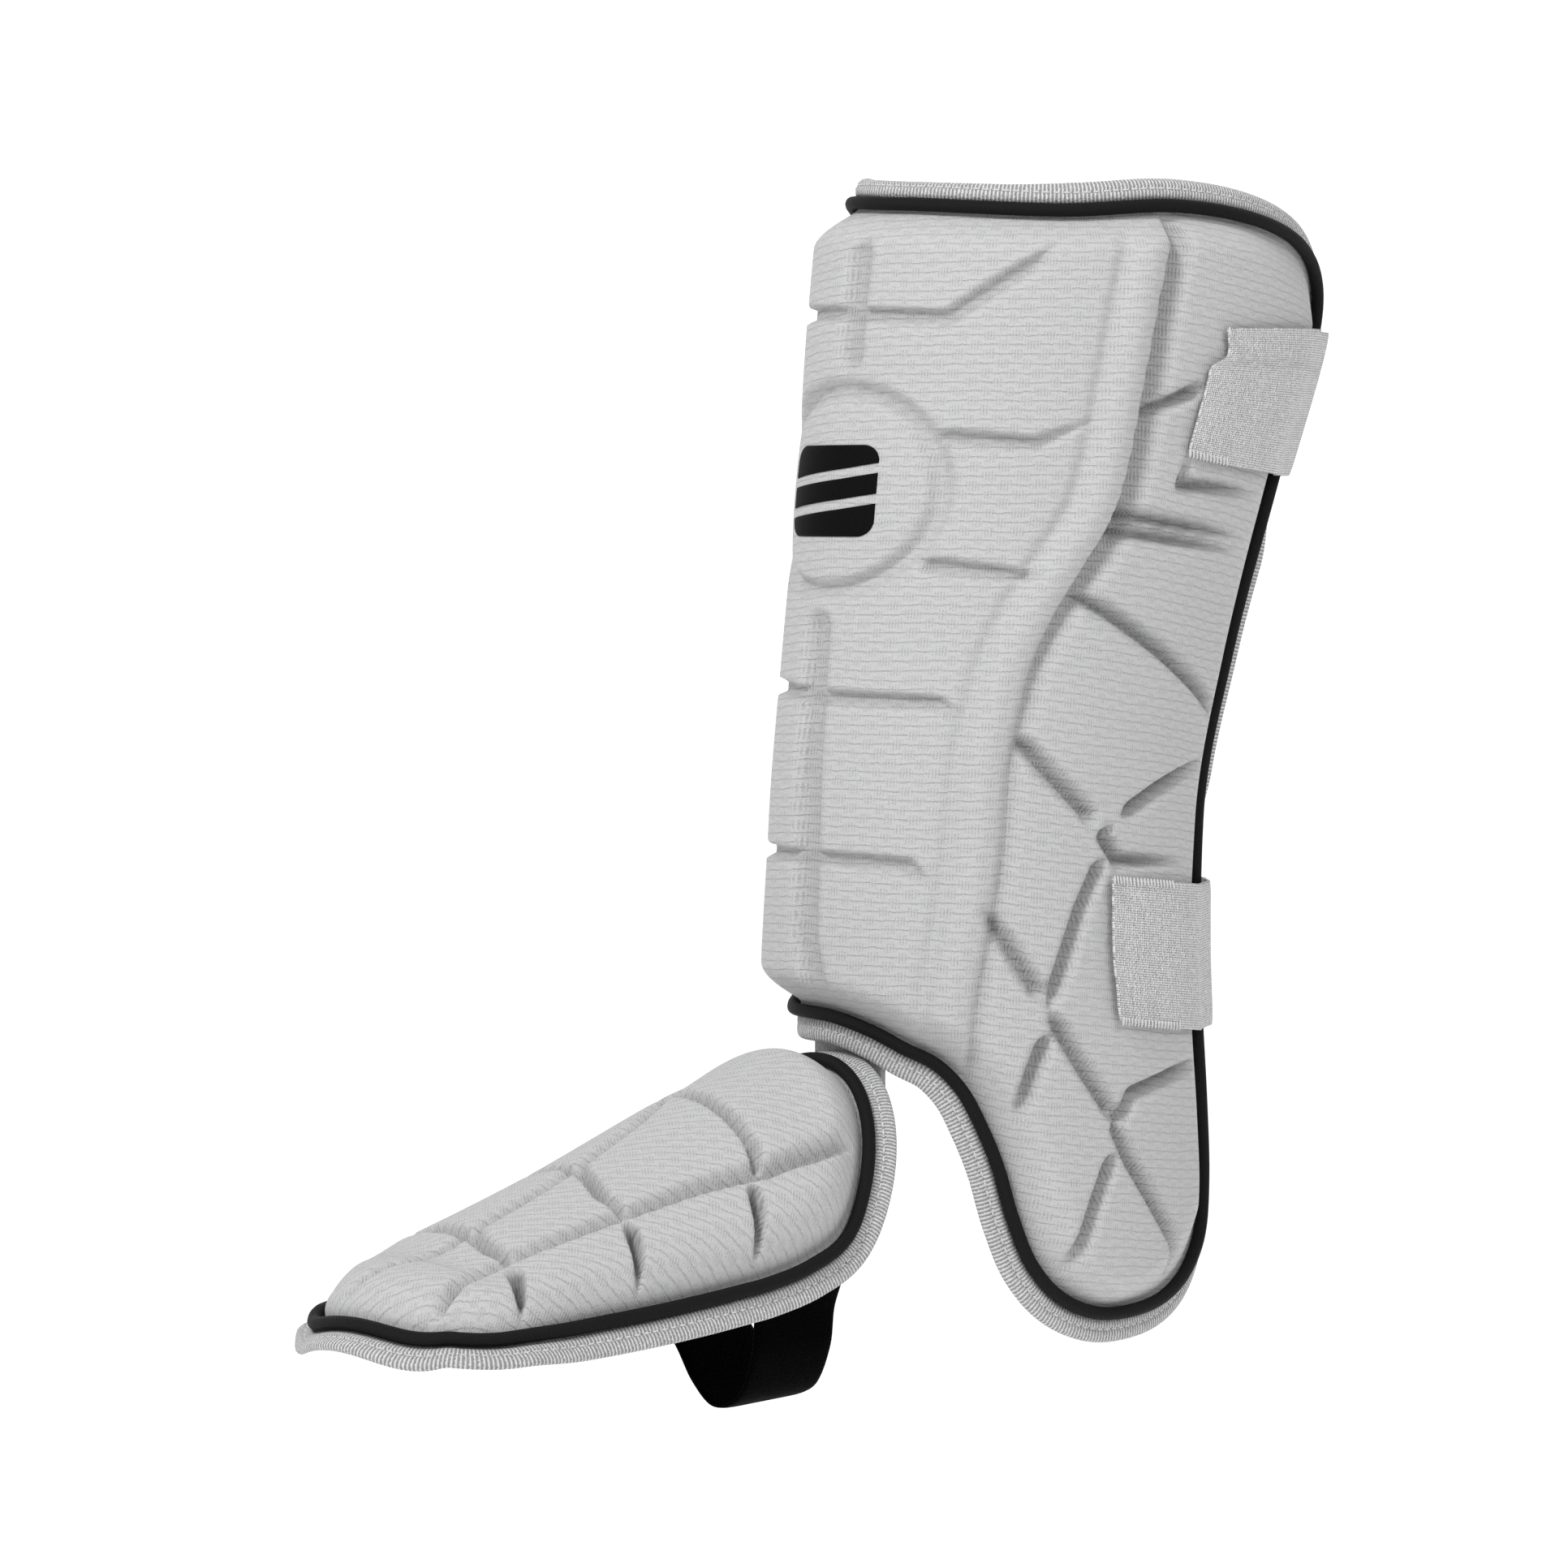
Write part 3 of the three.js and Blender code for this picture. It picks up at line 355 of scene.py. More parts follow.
LEVEL_GROOVES = [          # line, and the lengths over which its two ends rise
    ([(-0.93, 0.875), (-0.3, 0.875), (0.15, 0.863), (0.27, 0.93), (0.31, 0.96)], 6, 20),
    ([(0.15, 0.724), (0.31, 0.715), (0.4, 0.746)], 4, 24),
    ([(0.15, 0.574), (0.36, 0.557)], 4, 14), ([(-0.93, 0.6), (-0.6, 0.6)], 6, 6),
    ([(-0.93, 0.422), (-0.35, 0.422), (-0.01, 0.414), (0.21, 0.41), (0.26, 0.39)], 6, 14),
    ([(-0.93, 0.223), (-0.28, 0.223), (0.02, 0.223), (0.18, 0.219), (0.23, 0.195)], 6, 12)]
SIDE_STROKES = [           # line, and the lengths over which its two ends rise
    ([(0.47, 0.75), (0.575, 0.783)], 10, 3),
    ([(0.59, 0.7), (0.59, 0.668), (0.79, 0.66)], 12, 22),
    ([(0.46, 0.633), (0.78, 0.606)], 3, 28),
    ([(0.46, 0.613), (0.77, 0.588)], 3, 30),
    ([(0.41, 0.539), (0.46, 0.523), (0.62, 0.469), (0.75, 0.422), (0.84, 0.387)], 8, 9),
    ([(0.35, 0.371), (0.42, 0.324), (0.52, 0.266)], 5, 3),
    ([(0.82, 0.336), (0.67, 0.301), (0.58, 0.273)], 20, 4),
    ([(0.56, 0.262), (0.54, 0.25), (0.58, 0.219), (0.76, 0.211)], 6, 26),
    ([(0.315, 0.172), (0.36, 0.129), (0.43, 0.06)], 14, 3),
    ([(0.54, 0.223), (0.5, 0.168), (0.47, 0.102), (0.44, 0.045)], 4, 10),
    ([(0.44, 0.045), (0.51, -0.081), (0.58, -0.27)], 8, 3),
    ([(0.44, 0.02), (0.41, -0.081), (0.375, -0.28)], 5, 12),
    ([(0.84, -0.105), (0.68, -0.163), (0.62, -0.186), (0.58, -0.302), (0.61, -0.419),
      (0.67, -0.581), (0.73, -0.733), (0.775, -0.91)], 14, 6),
    ([(0.57, -0.39), (0.53, -0.558), (0.5, -0.709), (0.46, -0.89)], 4, 14)]
WELT_LINE = [              # from beyond the top seam to beyond the bottom one
    (0.445, 1.06), (0.437, 0.97), (0.43, 0.895), (0.43, 0.797), (0.43, 0.645), (0.39, 0.578),
    (0.35, 0.52), (0.32, 0.457), (0.31, 0.406), (0.3, 0.348), (0.3, 0.254), (0.29, 0.156),
    (0.27, 0.059), (0.26, 0.0), (0.24, -0.3)]
WELT_RISE, WELT_HALF = 2.2, 5.6
DIP_DEPTH, DIP_SIDE, DIP_HALF = 1.6, 7.0, 3.4    # the shallow dip on its inner side
CREASE_SIDE = 6.6          # the dark fold on its outer side, from the welt's middle
CREASE_DEPTH = (2.3, 5.0)  # low on the shin, and up at the calf
CREASE_INNER = 1.9         # half width towards the welt
CREASE_OUTER = (3.6, 7.8)  # half width away from it, low and up
CALF_LEVEL = (90.0, 60.0)  # from where and over which the crease deepens upwards
GROOVES_IN = (4.0, 10.0)   # depth from the seam where the grooves start, and their way down
CREASE_IN = (2.5, 5.0)
CROWN = 0.7                # how far each block swells between its grooves
SEAM_STEP = 0.6            # spacing of a seam's points
KNIT_STEP = 1.15           # spacing of the pad's points
WELT_CLEAR, FRONT_CLEAR = 8.0, 2.0      # where the rows of knit start to climb
FINE_ROWS = [57, 107, 145, 185, 224, 238]        # levels of the long cross grooves


def padding_height(depth, shoulder):
    t = ramp(depth, PIPING / 2, shoulder)
    return FLANGE + (PAD - FLANGE) * np.sin(t * math.pi / 2)


def hump(distance, half):
    return 0.5 + 0.5 * np.cos(math.pi * np.clip(distance / half, 0, 1))


def shin_relief(places, depth):
    """Height of the pad above its inner face, and how hard the cover is pressed there: a mark
    that also paints shade into the grooves and the crease.
    """
    shoulder = shin_chart.shoulder(places[:, 0], places[:, 1])
    inland, nearly = ramp(depth, *GROOVES_IN), ramp(depth, *CREASE_IN)
    upright = press(places, shin_flat, UPRIGHT_GROOVES, UPRIGHT_CUT)
    level = press(places, shin_flat, LEVEL_GROOVES, LEVEL_CUT)
    side = press(places, shin_flat, SIDE_STROKES, SIDE_CUT)
    ring = np.linalg.norm(places - shin_flat([BOSS_PLACE])[0], axis=1)
    bed, wall, sunk = BOSS_CUT
    t = ramp(np.abs(ring - BOSS_RADIUS - BOSS_RING), bed, wall)
    round_boss = sunk * (1 - np.sin(t * math.pi / 2))
    dome = BOSS_DOME * (1 - np.clip(ring / (BOSS_RADIUS + 1), 0, 1) ** 2)

    welt = smooth_line(shin_flat(WELT_LINE), 0.8)
    index, distance = nearest(welt, places)
    inward = ((places - welt[index]) * line_side(welt, False)[index]).sum(1)
    calf = ramp(places[:, 1], *CALF_LEVEL)
    crease_depth, crease_outer = (low + (high - low) * calf
                                  for low, high in (CREASE_DEPTH, CREASE_OUTER))
    beyond = distance - CREASE_SIDE
    spread = np.where(beyond < 0, CREASE_INNER, crease_outer)
    crease = crease_depth * hump(np.abs(beyond), spread) * (inward < 0) * nearly
    dip = DIP_DEPTH * hump(np.abs(distance - DIP_SIDE), DIP_HALF) * (inward > 0)
    rise = WELT_RISE * hump(distance, WELT_HALF) ** 0.7 - dip

    pressed = np.maximum.reduce([upright, level, side, round_boss])
    quiet = np.clip((34 - shoulder) / 20, 0, 1) * (ring > BOSS_RADIUS + 6)
    crown = CROWN * (1 - ramp(pressed, 0, 2)) * quiet
    height = padding_height(depth, shoulder) + (rise - pressed + crown) * inland - crease + dome
    # The mark is partly pressed knit and partly painted shade: it darkens the knit along the
    # strokes, the grooves and the crease.
    press_and_shade = (0.8 * side / SIDE_CUT[2] + 0.25 * level / LEVEL_CUT[2]
            + 0.3 * upright / UPRIGHT_CUT[2]) * inland + 0.8 * crease / CREASE_DEPTH[1]
    return np.maximum(height, FLANGE), np.clip(press_and_shade, 0, 1)


class Field:
    """A number that varies over a cloth, so that its shader nodes read as a formula."""

    def __init__(self, tree, socket):
        self.tree, self.socket = tree, socket

    def node(self, kind, *values, **settings):
        """A new node of that kind, fed with this field and with the values after it."""
        node = self.tree.nodes.new("ShaderNode" + kind)
        for setting, value in settings.items():
            setattr(node, setting, value)
        for socket, value in zip(node.inputs, (self, *values)):
            if isinstance(value, Field):
                self.tree.links.new(value.socket, socket)
            else:
                socket.default_value = value
        return Field(self.tree, node.outputs[0])

    def math(self, operation, *values):
        return self.node("Math", *values, operation=operation)

    def __add__(self, other):
        return self.math("ADD", other)

    def __sub__(self, other):
        return self.math("SUBTRACT", other)

    def __mul__(self, other):
        return self.math("MULTIPLY", other)

    def wave(self, pitch):
        return (self * (2 * math.pi / pitch)).math("SINE")

    def step(self, low, high):
        """A soft step, from 0 at low to 1 at high."""
        return self.node("MapRange", low, high, interpolation_type="SMOOTHSTEP")

    def noise(self, scale, detail=3.0):
        """Noise over the places that this field holds."""
        node = self.tree.nodes.new("ShaderNodeTexNoise")
        self.tree.links.new(self.socket, node.inputs["Vector"])
        node.inputs["Scale"].default_value = scale
        node.inputs["Detail"].default_value = detail
        return Field(self.tree, node.outputs["Fac"])

    def with_v(self, other):
        """The places that this field and another one span."""
        return self.node("CombineXYZ", other)


class Cloth:
    """A cloth's material; u and v are the cloth's own millimetres."""

    def __init__(self, name, colour, roughness, specular=0.2, sheen=0.0):
        self.material = bpy.data.materials.new(name)
        self.material.use_nodes = True
        self.tree = self.material.node_tree
        self.shader = self.tree.nodes["Principled BSDF"]
        for socket, value in (("Base Color", (*colour, 1)), ("Roughness", roughness),
                              ("Specular IOR Level", specular), ("Sheen Weight", sheen)):
            self.shader.inputs[socket].default_value = value
        layer = self.tree.nodes.new("ShaderNodeUVMap")
        layer.uv_map = "cloth"
        split = self.tree.nodes.new("ShaderNodeSeparateXYZ")
        self.tree.links.new(layer.outputs["UV"], split.inputs[0])
        self.u, self.v = (Field(self.tree, split.outputs[axis]) for axis in "XY")

    def colours(self, amount, light, dark):
        """The light colour where the amount is 0, the dark one where it is 1."""
        node = self.tree.nodes.new("ShaderNodeMix")
        node.data_type = "RGBA"
        node.inputs[6].default_value = (*light, 1)
        node.inputs[7].default_value = (*dark, 1)
        self.tree.links.new(amount.socket, node.inputs[0])
        self.tree.links.new(node.outputs[2], self.shader.inputs["Base Color"])

    def bump(self, height, distance, strength=1.0):
        """Relief too fine for the mesh; the distance is in metres."""
        node = self.tree.nodes.new("ShaderNodeBump")
        node.inputs["Strength"].default_value = strength
        node.inputs["Distance"].default_value = distance
        self.tree.links.new(height.socket, node.inputs["Height"])
        self.tree.links.new(node.outputs["Normal"], self.shader.inputs["Normal"])


# The knit: rows of stitches between thin wavy lines, with ribbed and smooth patches in turn.
ROW_PITCH = 2.8
PATCH_PITCH = 7.4          # a ribbed and a smooth patch along a row
RIB_PITCH = 0.78
KNIT_LIGHT = (0.55, 0.55, 0.553)
KNIT_DARK = (0.26, 0.26, 0.262)
knit = Cloth("grey_knit", KNIT_LIGHT, 0.92, sheen=0.1)
u, v = knit.u, knit.v
slow = (u * 0.05).with_v(v * 0.05).noise(1.0, 2.0)
sway = (u * 0.3).with_v(v * 0.4).noise(1.0)
fine = u.with_v(v * 1.3).noise(1.1)
grain = u.with_v(v).noise(2.6)
row = v * (1 / ROW_PITCH) + slow * 0.7 + sway * 0.42 + (fine - 0.5) * 0.22
odd = (row.math("FLOOR") * 0.5).math("FRACT")
ribbed = (u * (1 / PATCH_PITCH) + odd + slow * 1.6).wave(1.0).step(-0.1, 0.7)
off = (row.math("FRACT") - 0.5).math("ABSOLUTE")
line = (off.step(0.03, 0.11) * -1.0 + 1.0) * (ribbed * -0.55 + 1.0)
# The pressed mark is read here: it strengthens the ribs, and it paints shade into the grooves
# and the crease.
pressed = knit.tree.nodes.new("ShaderNodeAttribute")
pressed.attribute_name = "pressed"
press_and_shade_fac = Field(knit.tree, pressed.outputs["Fac"])
rib = (u + fine * 0.4).wave(RIB_PITCH) * (ribbed * 0.8 + press_and_shade_fac * 0.35 + 0.15)
knit.bump(line * -0.4 + rib * 0.16 + grain * 0.75, 0.0004, 0.9)
# Painted shade: the pressed mark darkens the knit's colour in the grooves and the crease.
shade = line * 0.34 + rib * -0.2 + ribbed * 0.1 + press_and_shade_fac * 0.7
knit.colours(shade + (grain - 0.5) * -1.35 + 0.1, KNIT_LIGHT, KNIT_DARK)

KNIT_SLANT_OUTER = math.radians(9)      # the rows climb away from the welt and the front
KNIT_SLANT_INNER = math.radians(7)
shin_seam = smooth_line(shin_flat(SHIN_SEAM), SEAM_STEP, closed=True)
points, quads, places, press_and_shade = grid_body(shin_chart, shin_seam, KNIT_STEP, shin_relief,
                                        close=FINE_ROWS)
welt_s, welt_level = shin_flat(WELT_LINE[::-1]).T
from_welt = places[:, 0] - np.interp(places[:, 1], welt_level, welt_s)
slope = np.tan(KNIT_SLANT_OUTER) * np.maximum(from_welt - WELT_CLEAR, 0)
slope += np.tan(KNIT_SLANT_INNER) * np.maximum(-places[:, 0] - FRONT_CLEAR, 0)
uv = np.stack([places[:, 0], places[:, 1] + slope], -1)


def pad_piece(part, points, quads, uv, press_and_shade):
    """A padded piece, with its knit stretched where it is pressed, and painted darker there as
    shade.
    """
    pad = make_piece(part + "_pad", knit.material, points, quads, uv, {"pressed": press_and_shade})
    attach(pad, "root")
    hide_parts(part + "_shell")


pad_piece("shin", points, quads, uv, press_and_shade)

# Boss patch: a thin black film in three slanting bars, pressed onto the round boss with
# heat. Its four corners are rounded.
PATCH_SIDE = 28.0
PATCH_CORNER = 5.0
BAR_GAP = 3.0
BAR_LEAN = 4.6             # how far each gap climbs across the patch
BAR_ROWS, BAR_COLUMNS = 9, 45
FILM, FILM_UNDER = 0.3, -0.4            # its two faces, from the knit
WELL_INSIDE = 60.0         # a depth from the seam at which the pad is at its full height


def slab_quads(rows, columns):
    """Quads of a thin closed body: a grid of points, then a like one under it."""
    ids = np.arange(rows * columns).reshape(rows, columns)
    top = np.stack([ids[:-1, :-1], ids[:-1, 1:], ids[1:, 1:], ids[1:, :-1]], -1).reshape(-1, 4)
    rim = np.concatenate([ids[0], ids[1:, -1], ids[-1, -2::-1], ids[-2:0:-1, 0]])
    after = np.roll(rim, -1)
    walls = np.stack([after, rim, rim + ids.size, after + ids.size], -1)
    return np.concatenate([top, top[:, ::-1] + ids.size, walls])


def bar_body(lower, upper, u):
    """A bar of film between two lines of the patch: its points and flat places."""
    share = np.linspace(0, 1, BAR_ROWS)[:, None]
    v = lower + (np.maximum(upper, lower + 0.05) - lower) * share
    flat = np.stack([np.broadcast_to(u, v.shape), v], -1).reshape(-1, 2)
    flat = flat + shin_flat([BOSS_PLACE])[0]
    under = shin_relief(flat, np.full(len(flat), WELL_INSIDE))[0]
    sheets = [shin_chart.point(flat[:, 0], flat[:, 1], under + lift)
              for lift in (FILM, FILM_UNDER)]
    return np.concatenate(sheets), np.concatenate([flat, flat])


u = np.linspace(-1, 1, BAR_COLUMNS) * (PATCH_SIDE / 2 - 0.05)
straight = PATCH_SIDE / 2 - PATCH_CORNER
edge = straight + np.sqrt(PATCH_CORNER ** 2 - np.maximum(np.abs(u) - straight, 0) ** 2)
gap_edges = [BAR_LEAN * u / PATCH_SIDE + middle + side * BAR_GAP / 2
             for middle in (-PATCH_SIDE / 6, PATCH_SIDE / 6) for side in (-1, 1)]
lines = [-edge, *gap_edges, edge]
bars = [bar_body(lower, upper, u) for lower, upper in zip(lines[::2], lines[1::2])]
one_bar = slab_quads(BAR_ROWS, BAR_COLUMNS)
quads = np.concatenate([one_bar + i * len(bars[0][0]) for i in range(len(bars))])
points, uv = (np.concatenate(parts) for parts in zip(*bars))
film = Cloth("black_film", (0.004, 0.004, 0.004), 0.6, specular=0.05)
grain = film.u.with_v(film.v).noise(2.5)
film.bump(grain, 0.0001, 0.6)
film.colours(grain.step(0.4, 0.8), (0.003, 0.003, 0.003), (0.007, 0.007, 0.007))
boss_patch = make_piece("boss_patch", film.material, points, quads, uv)
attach(boss_patch, "root")

# Lining of the shin piece: a smooth brushed cloth glued inside the foam, against the leg,
# and caught in the seam, where it thins out.
LINING = 0.5
LINING_GAP = 0.08
LINING_STEP = 2.6
LINING_GREY = (0.42, 0.42, 0.425)


def lining_top(places, depth):
    return np.full(len(places), -LINING_GAP), np.zeros(len(places))


def lining_bottom(depth):
    return -(LINING_GAP + LINING) * np.clip((depth + 2.2) / 3, 0.2, 1)


lining = Cloth("grey_lining", LINING_GREY, 0.95, sheen=0.3)
fuzz = lining.u.with_v(lining.v).noise(0.9, 4.0)
lining.bump(lining.u.wave(1.4) * lining.v.wave(1.4) * 0.3 + fuzz, 0.0003, 0.8)
lining.colours(fuzz.step(0.35, 0.75), LINING_GREY, [tone * 0.8 for tone in LINING_GREY])


def line_piece(part, chart, seam, step):
    """The lining of a padded piece."""
    points, quads, places, press_and_shade = grid_body(chart, seam, step, lining_top, lining_bottom)
    inside = make_piece(part + "_lining", lining.material, points, quads, places)
    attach(inside, "root")


line_piece("shin", shin_chart, shin_seam, LINING_STEP)

# Piping of the shin piece: a black woven cover over a round cord, sewn into the seam all
# the way round.
PIPE_SIDES = 16
CORD_RADIUS = 2.05
CORD_GAP = 0.2             # between the pad's thin edge and the cord
EDGE_STEP = 2.2            # spacing of the rings of the piping and the tape
PIPING_BLACK = (0.006, 0.006, 0.0062)


def seam_frame(chart, seam):
    """Points, outward and normal directions along a seam on a chart's inner face."""
    centre = chart.point(seam[:, 0], seam[:, 1], np.zeros(len(seam)))
    normal = chart.point(seam[:, 0], seam[:, 1], np.ones(len(seam))) - centre
    normal /= np.linalg.norm(normal, axis=1)[:, None]
    along = np.roll(centre, -1, 0) - np.roll(centre, 1, 0)
    out = np.cross(along, normal)
    out /= np.linalg.norm(out, axis=1)[:, None]
    return centre, out, normal


def seam_tube(chart, seam, section):
    """Points, quads and uv of a closed tube along a seam.

    From the directions and the level there, the section gives its places outwards and up."""
    centre, out, normal = seam_frame(chart, seam)
    shape = section(out, normal, centre[:, 2:3])
    rings = (centre[:, None] + out[:, None] * shape[..., 0:1]
             + normal[:, None] * shape[..., 1:2])
    ids = np.arange(rings.size // 3).reshape(rings.shape[:2])
    after = np.roll(ids, -1, 0)
    quads = np.stack([ids, after, np.roll(after, -1, 1), np.roll(ids, -1, 1)], -1)
    length = np.cumsum(np.linalg.norm(rings - np.roll(rings, 1, 0), axis=2).mean(1))
    girth = np.cumsum(np.linalg.norm(rings - np.roll(rings, 1, 1), axis=2).mean(0))
    uv = np.stack(np.broadcast_arrays(length[:, None], girth[None, :]), -1)
    return rings.reshape(-1, 3), quads.reshape(-1, 4), uv.reshape(-1, 2)


def pipe_section(out, normal, level):
    angle = np.arange(PIPE_SIDES) * 2 * math.pi / PIPE_SIDES
    ring = np.stack([CORD_RADIUS * np.cos(angle),
                     FLANGE + CORD_GAP + CORD_RADIUS + CORD_RADIUS * np.sin(angle)], -1)
    return np.broadcast_to(ring, (len(out), PIPE_SIDES, 2))


black_piping = Cloth("black_piping", PIPING_BLACK, 0.62, specular=0.1)
u, v = black_piping.u, black_piping.v
height = (u + v * 0.9).wave(0.8) * 0.3 + u.with_v(v).noise(1.8)
black_piping.bump(height, 0.00025, 0.8)
black_piping.colours(height.step(0.2, 1.0), PIPING_BLACK,
                     [tone * 1.8 + 0.003 for tone in PIPING_BLACK])


def pipe_seam(part, chart, edge):
    """The piping round a padded piece's seam."""
    piping = make_piece(part + "_piping_cord", black_piping.material,
                        *seam_tube(chart, edge, pipe_section))
    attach(piping, "root")
    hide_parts(part + "_piping")


shin_edge = smooth_line(shin_flat(SHIN_SEAM), EDGE_STEP, closed=True)
pipe_seam("shin", shin_chart, shin_edge)

# Binding of the shin piece: grosgrain tape folded over the raw edge outside the piping and
# sewn through once. Along the top it is folded in over the leg, further over the shin bone
# than at the side, and along the free rear edge it stands up a little.
TAPE_WIDTH = 6.6
TAPE_THICKNESS = 3.0
TAPE_LIGHT = (0.76, 0.76, 0.763)
TAPE_DARK = (0.28, 0.28, 0.282)
SEAM_OUT = PIPING / 2 + 0.45
TOP_BEND = math.radians(100)
TAPE_FLARE = 3.0           # how far it stands up along the free rear edge
FREE_EDGE = (58.0, 168.0)  # levels between which the rear edge is free of the straps
FREE_RUN = 22.0
STITCH_LINE = 0.36         # the sewn line, as a share of the tape's width
STITCH_PITCH = 3.1
STITCH_LENGTH = 2.2
STITCH_RADIUS = 0.34
STITCH_HEIGHT = 0.78 * TAPE_THICKNESS + 0.15
TAPE_PROFILE = np.array([  # outwards as a share of the width, height as a share of the tape
    (-0.16, 0.12), (0.3, 0.0), (0.75, 0.03), (0.93, 0.14), (1.0, 0.36), (1.0, 0.64),
    (0.93, 0.86), (0.8, 0.96), (0.62, 1.0), (0.45, 0.97), (STITCH_LINE, 0.74), (0.27, 0.97),
    (0.06, 0.93), (-0.16, 0.75)])


def bent_tape(out, normal, level, across, rise):
    """Outwards and height of places in the tape, which bends in where the edge faces up."""
    upwards = np.maximum(0, out[:, 2:3]) ** 3
    ahead = ramp(-normal[:, 1:2], 0.6, 0.35) * upwards
    start = (0.28 - 0.22 * ahead) * TAPE_WIDTH
    whole = TOP_BEND * (1 + 0.45 * ahead) * upwards
    bend = np.maximum(whole, 1e-4) / (TAPE_WIDTH - start)
    after = np.maximum(across - start, 0)
    turn = bend * after
    free = ramp(level, FREE_EDGE[0], FREE_RUN) * ramp(-level, -FREE_EDGE[1], FREE_RUN)
    rear = ramp(out[:, 1:2], 0.6, 0.2) * free * free * (3 - 2 * free)
    o = np.minimum(across, start) + np.sin(turn) / bend
    h = (np.cos(turn) - 1) / bend + TAPE_FLARE * rear * (after / (TAPE_WIDTH - start)) ** 1.5
    lift = rise - TAPE_THICKNESS / 2
    return (SEAM_OUT + o + lift * np.sin(turn),
            TAPE_THICKNESS / 2 + h + lift * np.cos(turn))


def tape_section(out, normal, level):
    across = np.broadcast_to(TAPE_PROFILE[:, 0] * TAPE_WIDTH, (len(out), len(TAPE_PROFILE)))
    return np.stack(bent_tape(out, normal, level, across,
                              TAPE_PROFILE[:, 1] * TAPE_THICKNESS), -1)


tape = Cloth("ribbed_tape", TAPE_LIGHT, 0.85, sheen=0.15)
fuzz = tape.u.with_v(tape.v).noise(1.3)
height = (tape.u * (2 * math.pi / 1.2) + fuzz * 4.0).math("SINE") * 0.45 + fuzz
tape.bump(height, 0.0005)
tape.colours(height.step(1.0, 0.0), TAPE_LIGHT, TAPE_DARK)
thread = Cloth("grey_thread", (0.7, 0.7, 0.705), 0.6)
thread.bump((thread.u + thread.v).wave(math.pi / 6), 0.0001, 0.7)


def threads(name, starts, ends, ups, radius):
    """One mesh of short sewn threads, each a rounded bead from its start to its end."""
    profile = np.array([(0, 0.2), (0.12, 0.8), (0.5, 1), (0.88, 0.8), (1, 0.2)])
    sides = 6
    angle = np.arange(sides) * 2 * math.pi / sides
    ids = np.arange(len(profile) * sides).reshape(len(profile), sides)
    one = np.stack([ids[:-1], ids[1:], np.roll(ids[1:], -1, 1), np.roll(ids[:-1], -1, 1)],
                   -1).reshape(-1, 4)
    caps = np.array([[0, 1, 2, 3], [0, 3, 4, 5]])
    one = np.concatenate([one, caps, caps[:, ::-1] + ids[-1, 0]])
    along = ends - starts
    cross = np.cross(along, ups)
    cross /= np.linalg.norm(cross, axis=1)[:, None]
    ring = (cross[:, None] * np.cos(angle)[:, None] + ups[:, None] * np.sin(angle)[:, None])
    body = (starts[:, None, None] + along[:, None, None] * profile[:, 0, None, None]
            + ring[:, None] * (profile[:, 1] * radius)[:, None, None]).reshape(-1, 3)
    quads = one[None] + (np.arange(len(starts)) * ids.size)[:, None, None]
    return make_piece(name, thread.material, body, quads.reshape(-1, 4), body[:, [0, 2]])


def bind_edge(part, chart, edge):
    """The tape round a padded piece's edge, and the threads of the line that sews it."""
    binding = make_piece(part + "_edge_tape", tape.material,
                         *seam_tube(chart, edge, tape_section))
    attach(binding, "root")
    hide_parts(part + "_binding")

    centre, out, normal = seam_frame(chart, edge)
    o, h = bent_tape(out, normal, centre[:, 2:3],
                     np.full((len(edge), 1), STITCH_LINE * TAPE_WIDTH), STITCH_HEIGHT)
    line = centre + out * o + normal * h
    reach = reach_along(line)
    starts = np.arange(0, reach[-1] - STITCH_PITCH, STITCH_PITCH)
    stitches = threads(part + "_edge_stitches", read_columns(starts, reach, line),
                       read_columns(starts + STITCH_LENGTH, reach, line),
                       read_columns(starts, reach, normal), STITCH_RADIUS)
    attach(stitches, "root")


bind_edge("shin", shin_chart, shin_edge)

# Foot piece: the instep pad, of the same foam and knit, arched over the foot and pressed
# into rows of blocks by two long grooves and three cross grooves. It has its own lining.
FOOT_LENGTH = 180.0
FOOT_FALL = 57.5
FOOT_HALF_WIDTH = 46.5
FOOT_WRAP = 41.0
FOOT_TURN = math.radians(65)
FOOT_OFFSET = 3.0
FOOT_SETBACK = 4.2
FOOT_BELOW = 8.0
TOE_NOSE = 22.0            # the round of the pad at the toe
TOE_ROUNDING = (0.74, 0.2) # shares along, from where and over which that round takes over
FOOT_GROOVES_IN = (3.0, 9.0)
FOOT_CROWN = 0.9
FOOT_STEP = 0.7            # spacing of the points of the pad, and of its lining
FOOT_LINING_STEP = 2.4
FOOT_ROWS = np.array([     # along, fall, width, wrap
    (-0.1, -0.13, 0.99, 0.98), (0, 0, 1.0, 1.0), (0.135, 0.17, 1.0, 1.0),
    (0.27, 0.32, 0.97, 0.8), (0.5, 0.596, 0.91, 0.514), (0.715, 0.821, 0.812, 0.278),
    (0.84, 0.961, 0.762, 0.121), (0.92, 0.971, 0.713, 0.15), (1.0, 1.044, 0.617, 0.35),
    (1.05, 1.244, 0.587, 0.31)])
FOOT_REAR_Y = spot(shin_chart, 0.0, 0.0, 0.0)[1] - FOOT_SETBACK
FOOT_REAR_Z = shin_level(0.031) - SEAM_OUT - TAPE_WIDTH - FOOT_BELOW
foot_along = FOOT_ROWS[:, 0] * FOOT_LENGTH
foot_fall = column_curve(foot_along, FOOT_ROWS[:, 1] * FOOT_FALL)
foot_width = column_curve(foot_along, FOOT_ROWS[:, 2] * FOOT_HALF_WIDTH)
foot_wrap = column_curve(foot_along, FOOT_ROWS[:, 3] * FOOT_WRAP)


